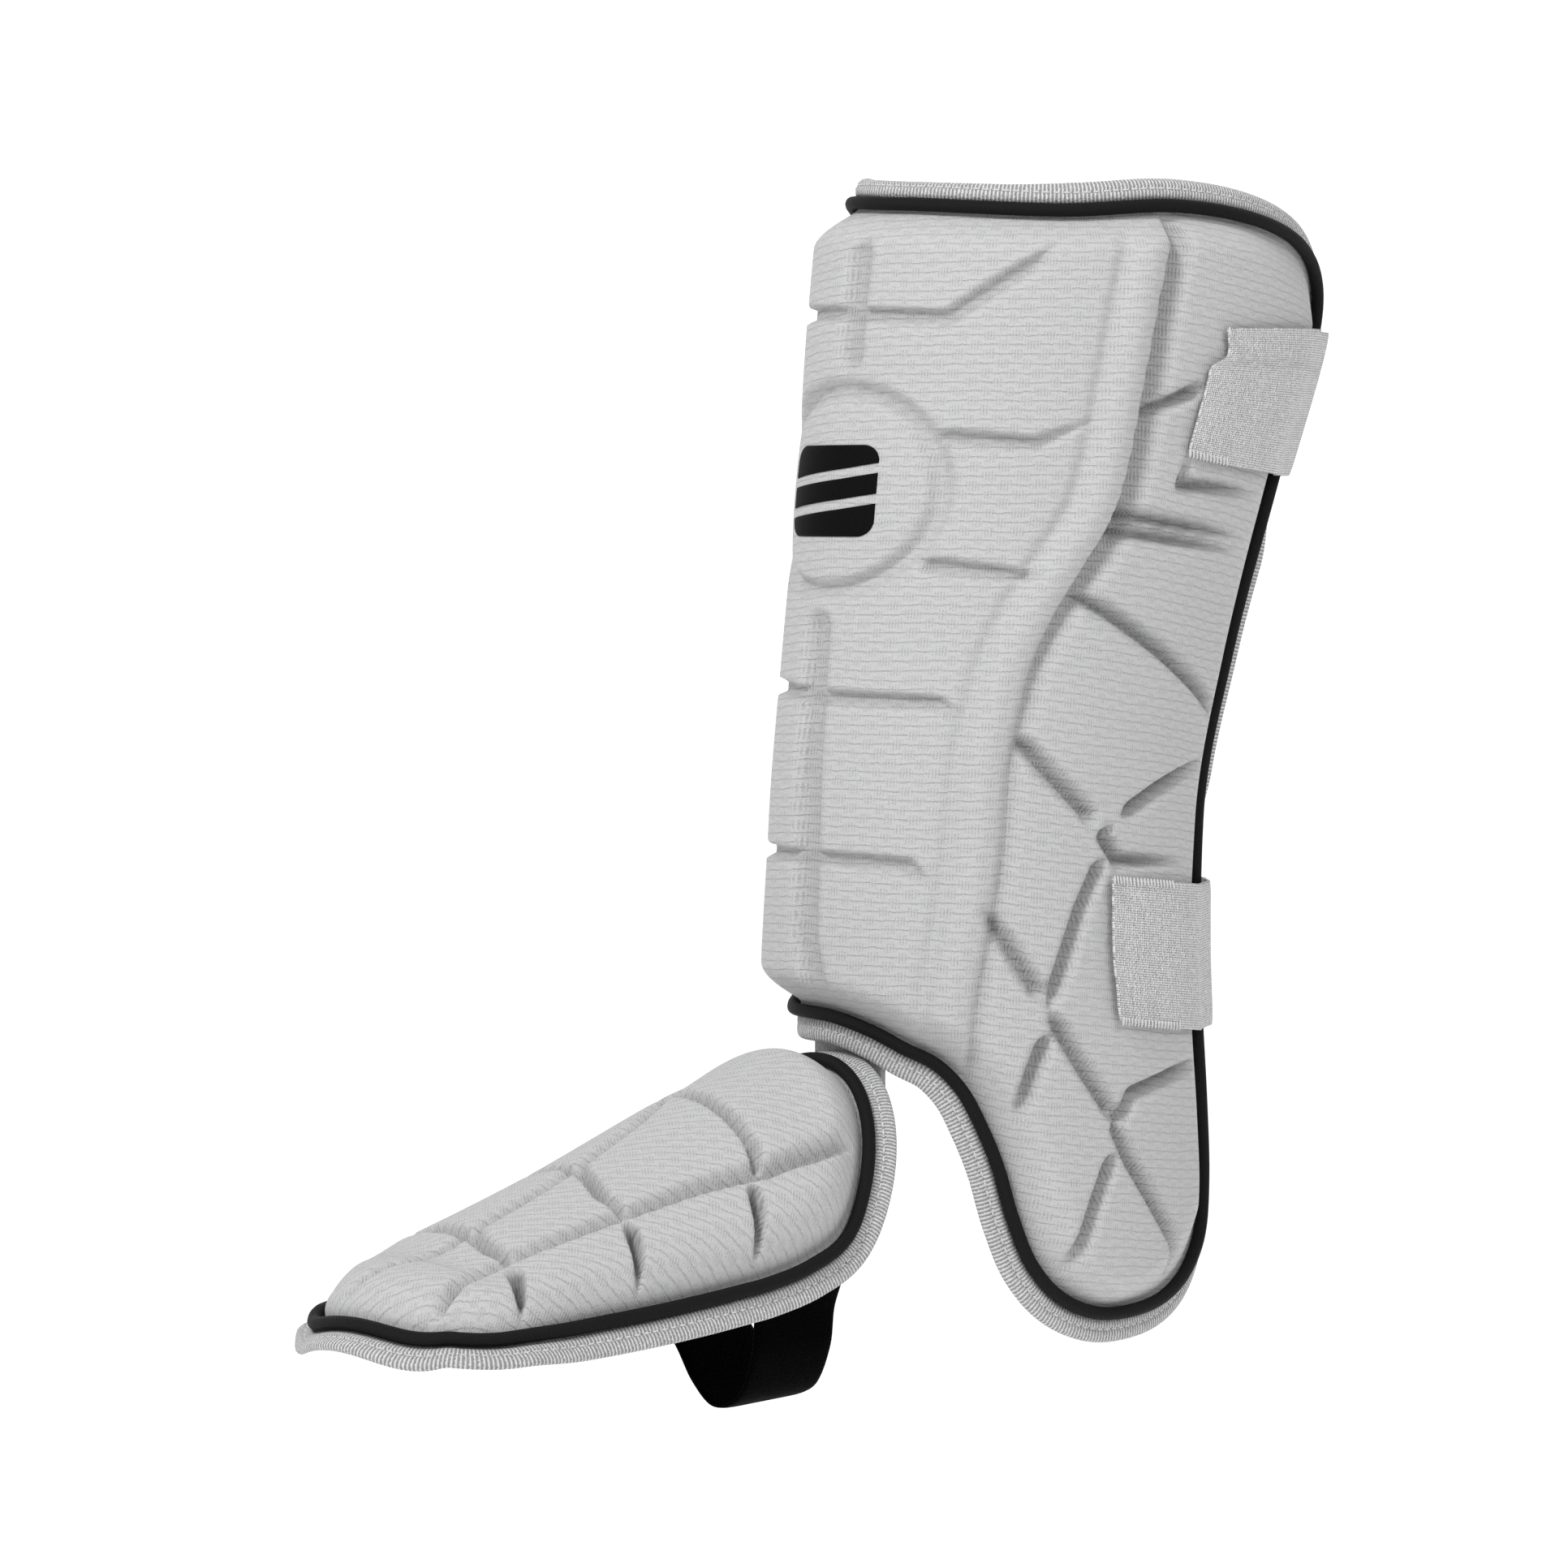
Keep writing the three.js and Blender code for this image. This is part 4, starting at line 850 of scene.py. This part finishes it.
class FootChart:
    """Places of the foot piece; back counts backwards from the rear seam."""

    def flat(self, across, back):
        return across * foot_width(-back) * FOOT_TURN, back

    def face(self, s, back):
        turn = s / foot_width(-back)
        side = np.sin(turn) / math.sin(FOOT_TURN)
        hang = (1 - np.cos(turn)) / (1 - math.cos(FOOT_TURN))
        return np.stack([FOOT_OFFSET + foot_width(-back) * side, FOOT_REAR_Y + back,
                         FOOT_REAR_Z - foot_fall(-back) - foot_wrap(-back) * hang], -1)

    def point(self, s, back, height):
        s, back = np.asarray(s, float), np.asarray(back, float)
        turn = s / foot_width(-back)
        wide = foot_width(-(back + 0.5)), foot_width(-(back - 0.5))
        sideways = self.face(s + 0.5, back) - self.face(s - 0.5, back)
        behind = self.face(turn * wide[0], back + 0.5) - self.face(turn * wide[1], back - 0.5)
        normal = np.cross(sideways, behind)
        normal /= np.linalg.norm(normal, axis=-1)[..., None]
        return self.face(s, back) + normal * np.asarray(height)[..., None]


foot_chart = FootChart()


def foot_flat(places):
    places = np.asarray(places, float)
    return np.stack(foot_chart.flat(places[:, 0], -places[:, 1] * FOOT_LENGTH), -1)


def foot_seam_places():
    """The seam as shares: round the toe, down one side, round the rear, up the other."""
    rear, toe_start, toe_end, skew = 0.36, 0.84, 0.98, 0.015
    turns = [math.radians(angle) for angle in range(-90, 91, 15)]
    toe = [(math.sin(a), toe_start + (toe_end - toe_start) * math.cos(a) - skew * math.sin(a))
           for a in turns]
    back = [(math.sin(a), rear * (1 - math.cos(a))) for a in turns[::-1]]
    sides = (0.7, 0.55, 0.42)
    return (toe + [(1, share) for share in sides] + back
            + [(-1, share) for share in sides[::-1]])


LONG_INNER = [[(-0.35, 0.12), (-0.14, 0.34), (-0.08, 0.5), (-0.05, 0.64), (-0.05, 0.76),
               (-0.18, 0.87), (-0.28, 0.95)]]
LONG_OUTER = [[(0.57, 0.1), (0.57, 0.3), (0.5, 0.43), (0.46, 0.6), (0.44, 0.74), (0.45, 0.86),
               (0.58, 0.94), (0.68, 0.965)]]
CROSS_GROOVES = [
    [(-0.92, 0.28), (-0.5, 0.25), (-0.2, 0.24), (0.19, 0.27), (0.41, 0.29), (0.57, 0.32)],
    [(-0.92, 0.52), (-0.5, 0.5), (-0.08, 0.5), (0.27, 0.55), (0.48, 0.548)],
    [(-0.92, 0.74), (-0.5, 0.72), (-0.03, 0.73), (0.24, 0.75), (0.46, 0.75)]]
SIDE_STUBS = [             # line, and the lengths over which its two ends rise
    ([(0.6, 0.335), (0.94, 0.395)], 2, 16), ([(0.53, 0.558), (0.93, 0.615)], 2, 16),
    ([(0.52, 0.762), (0.93, 0.82)], 2, 15)]
INNER_CUT = (0.8, (1.6, 2.6), 4.2)      # half the floor, left and right wall, depth
OUTER_CUT = (0.5, (1.1, 4.4), 5.0)
CROSS_CUT = (0.5, (3.6, 1.1), 5.6)
STUB_CUT = (1.0, (0.8, 1.9), 7.6)
FULL_MARK = 4.6            # depth at which the knit is fully pressed


def foot_relief(places, depth):
    """Height of the pad above its inner face, and how hard the cover is pressed there: a mark
    that also paints shade into the deepest groove lines and the stubs.
    """
    inland = ramp(depth, *FOOT_GROOVES_IN)
    t = ramp(depth, PIPING / 2, TOE_NOSE)
    nose = FLANGE + (PAD - FLANGE) * np.sqrt(1 - (1 - t) ** 2)
    toe = ramp(-places[:, 1] / FOOT_LENGTH, *TOE_ROUNDING)
    height = padding_height(depth, SHOULDER) * (1 - toe) + nose * toe
    inner, outer, cross, stubs = (press(places, foot_flat, grooves, cut) for grooves, cut in (
        (LONG_INNER, INNER_CUT), (LONG_OUTER, OUTER_CUT), (CROSS_GROOVES, CROSS_CUT),
        (SIDE_STUBS, STUB_CUT)))
    pressed = np.maximum.reduce([inner, outer, cross, stubs])
    crown = FOOT_CROWN * (1 - ramp(pressed, 0, 2))
    share = pressed / FULL_MARK
    # The mark is partly pressed knit and partly painted shade: it darkens the deepest lines of
    # the grooves and the stubs.
    press_and_shade = (0.1 * share + 0.45 * np.clip(share, 0, 1) ** 3 + 1.2 * stubs / STUB_CUT[2]) * inland
    return np.maximum(height + (crown - pressed) * inland, FLANGE), np.clip(press_and_shade, 0, 1)


foot_seam = smooth_line(foot_flat(foot_seam_places()), SEAM_STEP, closed=True)
points, quads, places, press_and_shade = grid_body(foot_chart, foot_seam, FOOT_STEP, foot_relief)
uv = np.stack([places[:, 0] + places[:, 1], places[:, 0] - places[:, 1]], -1) / math.sqrt(2)
pad_piece("foot", points, quads, uv, press_and_shade)
line_piece("foot", foot_chart, foot_seam, FOOT_LINING_STEP)

# Piping and binding of the foot piece: the same cord, tape and sewn line as round the shin
# piece, over the instep pad's own seam.
FOOT_EDGE_STEP = 1.8
foot_edge = smooth_line(foot_flat(foot_seam_places()), FOOT_EDGE_STEP, closed=True)
pipe_seam("foot", foot_chart, foot_edge)
bind_edge("foot", foot_chart, foot_edge)

# Calf straps: wide woven elastic, sewn inside the inner edge, that goes round the back of
# the leg and over the outer edge to its free end, which grips the knit of the outer side.
# A thread overlocks the raw edges at that end.
STRAP_WIDTH = 46.0
STRAP_THICKNESS = 2.0
STRAP_LAP = 20.0
STRAP_BULGE = 26.0
STRAP_CLEAR = 0.3          # between the strap's inner face and what it lies on
END_TAPER = 5.0            # over which the free end thins out
TICK_PITCH = 1.5
TICK_RADIUS = 0.38
TICK_OUT, TICK_IN = 0.5, 2.2            # its two ends, outside the raw edge and inside it
STRAPS = {                 # middle, tilt, nip of the low and the high edge, curl, overlocked
    # ticks along the low and the high edge, free end by share of the width
    "upper_strap": (197.0, 0.0, (5.5, -1.5), 0.3, (12, 1), [
        (-0.5, 0.582), (0, 0.577), (0.2, 0.572), (0.24, 0.59), (0.3, 0.604), (0.5, 0.587)]),
    "lower_strap": (25.0, 7.0, (1.0, 0.0), 1.2, (19, 19), [
        (-0.5, 0.578), (-0.32, 0.572), (-0.1, 0.566), (0.1, 0.559), (0.25, 0.559), (0.38, 0.553),
        (0.5, 0.551)])}


def strap_line(middle, free_end, tilt, nip, curl):
    """Points of one strap line from its free end round the leg to its sewn end.

    The strap rises by the tilt towards its free end, where this line lies nip higher and
    its last millimetres stand off the knit by the curl."""
    low = middle - tilt / 2
    edge = float(shin_chart.flat(1.0, low)[0])
    gap = STRAP_CLEAR + STRAP_THICKNESS / 2
    tape_end = SEAM_OUT + TAPE_WIDTH
    over_cord = FLANGE + PIPING + STRAP_CLEAR + gap
    start, flat_end = free_end * edge, edge - SHOULDER
    points = []
    for share in (0, 0.08, 0.25, 0.5, 0.75, 1):
        length = start + (flat_end - start) * share
        top = float(padding_height(edge - length, shin_chart.shoulder(length, middle)))
        back = 1 - share
        points.append(spot(shin_chart, length, low + tilt * back + nip * back ** 2,
                           top + 2 * gap + curl * (share == 0)))
    for length, height in (
            (edge - PIPING * 0.6, over_cord), (edge + PIPING * 0.4, over_cord),
            (edge + tape_end * 0.75, TAPE_THICKNESS + 2.3 * gap),
            (edge + tape_end + gap * 2.2, TAPE_THICKNESS + gap), (edge + tape_end + gap * 3, 0)):
        points.append(spot(shin_chart, length, low, height))
    far = -INNER_LENGTH * float(shin_scale(middle))
    a = spot(shin_chart, edge + tape_end + gap * 3, low, -STRAP_THICKNESS * 1.5)
    b = spot(shin_chart, far - tape_end - 2, middle, -gap * 2)
    chord = b - a
    back = np.array([chord[1], -chord[0], 0])
    back /= np.linalg.norm(back)
    for t in np.arange(7) / 6:
        points.append(a + chord * t + back * (STRAP_BULGE * 4 * t * (1 - t)))
    for length in (far + 2, far + STRAP_LAP):
        points.append(spot(shin_chart, length, middle, -gap * 1.3))
    return points


def band_mesh(lines, axis, thickness, spacing, across):
    """A band from lines side by side: points, quads and uv, with rounded selvedges."""
    paths = [smooth_line(line, spacing) for line in lines]
    count = max(len(p) for p in paths)
    share = np.linspace(0, 1, count)
    paths = np.stack([read_columns(share, np.linspace(0, 1, len(p)), p) for p in paths])
    places = np.linspace(0, len(lines) - 1, across)
    low = np.clip(places.astype(int), 0, len(lines) - 2)
    mix = (places - low)[:, None, None]
    sheet = paths[low] * (1 - mix) + paths[low + 1] * mix
    along = np.gradient(sheet, axis=1)
    along -= np.tensordot(along, axis, 1)[..., None] * axis
    along /= np.linalg.norm(along, axis=2)[..., None]
    normal = np.cross(along, axis)
    v = np.linspace(-1, 1, across)
    half = thickness / 2 * (1 - 0.45 * np.abs(v) ** 10)[:, None, None]
    taper = 0.4 + 0.6 * ramp(np.arange(count) * spacing, 0, END_TAPER)
    half = half * taper[None, :, None]
    faces = np.concatenate([sheet + normal * half, sheet - normal * half])
    width = np.linalg.norm(sheet[-1] - sheet[0], axis=1).mean()
    length = np.linalg.norm(np.diff(sheet, axis=1), axis=2).sum(1).mean()
    uv = np.stack(np.broadcast_arrays(share[None] * length, (v[:, None] + 1) / 2 * width), -1)
    return faces.reshape(-1, 3), slab_quads(across, count), uv.reshape(-1, 2)


def elastic_cloth(name, light, dark, specular, sheen):
    """Short dashes of yarn in turn along and across the strap, with a faint shimmer."""
    cloth = Cloth(name, light, 0.6, specular, sheen)
    u, v = cloth.u, cloth.v
    shimmer = (u * 1.2).with_v(v * 0.4).noise(1.0, 4.0)
    grain = u.with_v(v).noise(2.0)
    weft = (shimmer * 1.2 + u) * (2 * math.pi / 1.6)
    warp = v * (2 * math.pi / 1.5)
    twill = (weft + warp).math("SINE")
    dash = twill * (warp - weft).math("SINE")
    cloth.bump(dash * 0.35 + twill * 0.2 + grain, 0.0004)
    cloth.colours(dash * -0.9 + grain * -2.6 + shimmer * -0.9 + 2.15, light, dark)
    return cloth


elastic = elastic_cloth("grey_elastic", (0.8, 0.8, 0.803), (0.28, 0.28, 0.282), 0.2, 0.1)
for name, (middle, tilt, nip, curl, ticked, free_end) in STRAPS.items():
    shares = np.linspace(-0.5, 0.5, 25)
    nips = nip[0] + (nip[1] - nip[0]) * (shares + 0.5)
    ends = np.interp(shares, *np.array(free_end).T)
    curls = curl * (0.8 + 0.2 * np.sin(shares * 19))
    lines = [strap_line(middle + STRAP_WIDTH * share, end, tilt, rise, lift)
             for share, end, rise, lift in zip(shares, ends, nips, curls)]
    strap = make_piece(name + "_elastic", elastic.material, *band_mesh(
        lines, np.array([0, 0, 1.0]), STRAP_THICKNESS - 0.1, 0.8, 49))
    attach(strap, "root")
    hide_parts(name)

    low, high = (smooth_line(line, TICK_PITCH)[:count]
                 for line, count in zip((lines[0], lines[-1]), ticked))
    spots = np.concatenate([low, high])
    inward = np.repeat([[0, 0, 1.0], [0, 0, -1.0]], [len(low), len(high)], 0)
    inner, outer = (spot(shin_chart, ends[0] * OUTER_LENGTH, middle, h) for h in (0.0, 1.0))
    face = np.tile(outer - inner, (len(spots), 1))
    overlock = threads(name + "_overlock", spots - inward * TICK_OUT + face * 0.8,
                       spots + inward * TICK_IN + face * 1.05, face, TICK_RADIUS)
    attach(overlock, "root")

# Stirrup: a black elastic sewn inside both sides of the foot piece, which goes under the
# shoe.
STIRRUP_WIDTH = 31.0
STIRRUP_THICKNESS = 2.0
STIRRUP_BACK = 48.5
STIRRUP_DEPTH = 40.0
STIRRUP_INSIDE = 0.9       # between the pad's inner face and the elastic
STIRRUP_SEWN = (0.74, 0.82, 0.9, 0.98)  # places across, on the way down to the hem
STIRRUP_SAG = [(0.86, 0.3), (0.82, 0.6), (0.67, 0.92), (0.45, 1.0), (0.26, 0.86),
               (0.08, 0.6), (-0.3, 0.22)]


def stirrup_line(back):
    inside = -(STIRRUP_INSIDE + STIRRUP_THICKNESS / 2)
    outer, far = ([spot(foot_chart, foot_chart.flat(side * share, back)[0], back, inside)
                   for share in STIRRUP_SEWN] for side in (1, -1))
    hem_s = foot_chart.flat(1.0, -STIRRUP_BACK)[0]
    hem = foot_chart.face(np.array([hem_s]), np.array([-STIRRUP_BACK]))[0]
    sag = [np.array([FOOT_OFFSET + FOOT_HALF_WIDTH * across, outer[3][1],
                     hem[2] - STIRRUP_DEPTH * depth]) for across, depth in STIRRUP_SAG]
    return outer + sag + far[::-1]


lines = [stirrup_line(-STIRRUP_BACK + STIRRUP_WIDTH * share)
         for share in np.linspace(-0.5, 0.5, 5)]
black_elastic = elastic_cloth("black_elastic", (0.0006, 0.0006, 0.0007),
                              (0.0002, 0.0002, 0.0003), 0.012, 0.0)
stirrup = make_piece("foot_strap_elastic", black_elastic.material, *band_mesh(
    lines, np.array([0, 1.0, 0]), STIRRUP_THICKNESS - 0.1, 1.2, 25))
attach(stirrup, "root")
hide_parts("foot_strap")

# Ankle tab: lining cloth sewn inside both pieces, which lets the foot piece swing a little.
# Its solid is kept and gets a cloth of its own.
TAB_LIGHT = (0.5, 0.5, 0.51)
TAB_DARK = (0.34, 0.34, 0.35)
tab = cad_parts["ankle_tab"]
tab_cloth = Cloth("tab_cloth", TAB_LIGHT, 0.95)
where = tab_cloth.tree.nodes.new("ShaderNodeTexCoord").outputs["Object"]
fuzz = Field(tab_cloth.tree, where).noise(900.0)
tab_cloth.bump(fuzz, 0.0004, 0.8)
tab_cloth.colours(fuzz.step(0.3, 0.75), TAB_LIGHT, TAB_DARK)
tab.data.materials.clear()
tab.data.materials.append(tab_cloth.material)

# Floor, light and camera: a pale sweep of paper well below the guard, which curves up far
# behind it, so that no shadow shows; soft light from the front and from the outer side.
FLOOR_BELOW = 0.7          # metres, as everything in this section
PAPER_FRONT = 4.0
PAPER_BEHIND = 2.5
PAPER_BEND = 1.5
PAPER_TOP = 6.0
PAPER_HALF_WIDTH = 6.0
LIGHT_AIM = Vector((0, -0.05, 0.08))
AZIMUTH = math.radians(48)
CAMERA_AT = Vector((0.9109, -0.8936, 0.1654))
LOOK_AT = Vector((-0.0528, -0.02582, 0.07475))
PIXELS = 1932
FOCAL_PIXELS = 4962
SENSOR_WIDTH = 36.0

lowest = cad_box[0][2] - FLOOR_BELOW
curve = [(PAPER_BEHIND + PAPER_BEND * math.sin(a), PAPER_BEND * (1 - math.cos(a)))
         for a in np.linspace(0, math.pi / 2, 13)]
profile = [(-PAPER_FRONT, 0.0), *curve, (PAPER_BEHIND + PAPER_BEND, PAPER_TOP)]
ahead = np.array([-math.sin(AZIMUTH), math.cos(AZIMUTH)])
aside = np.array([math.cos(AZIMUTH), math.sin(AZIMUTH)])
points = np.array([[*(ahead * away + aside * across), lowest + up]
                   for away, up in profile
                   for across in (-PAPER_HALF_WIDTH, PAPER_HALF_WIDTH)])
quads = np.array([[2 * i, 2 * i + 1, 2 * i + 3, 2 * i + 2] for i in range(len(profile) - 1)])
paper = bpy.data.materials.new("pale_paper")
paper.use_nodes = True
for socket, value in (("Base Color", (0.9, 0.9, 0.9, 1)), ("Roughness", 0.9),
                      ("Emission Color", (1, 1, 1, 1)), ("Emission Strength", 0.42)):
    paper.node_tree.nodes["Principled BSDF"].inputs[socket].default_value = value
floor = make_piece("studio_floor", paper, points * 1000, quads)

world = bpy.data.worlds.new("studio")
world.use_nodes = True
world.node_tree.nodes["Background"].inputs["Color"].default_value = (1, 1, 1, 1)
world.node_tree.nodes["Background"].inputs["Strength"].default_value = 0.52
bpy.context.scene.world = world


def softbox(name, place, size, power):
    light = bpy.data.lights.new(name, "AREA")
    light.shape = "DISK"
    light.size = size
    light.energy = power
    lamp = bpy.data.objects.new(name, light)
    lamp.location = place
    lamp.rotation_euler = (LIGHT_AIM - Vector(place)).to_track_quat("-Z", "Y").to_euler()
    bpy.context.scene.collection.objects.link(lamp)


softbox("key_light", (0.3, -1.47, 1.5), 0.6, 23.0)
softbox("side_light", (1.5, -0.3, 1.2), 0.9, 8.5)
bpy.context.scene.view_settings.view_transform = "Standard"

camera = bpy.data.objects.new("camera", bpy.data.cameras.new("camera"))
camera.data.sensor_width = SENSOR_WIDTH
camera.data.lens = FOCAL_PIXELS / PIXELS * SENSOR_WIDTH
camera.location = CAMERA_AT
camera.rotation_euler = (LOOK_AT - CAMERA_AT).to_track_quat("-Z", "Y").to_euler()
bpy.context.scene.collection.objects.link(camera)
bpy.context.scene.camera = camera
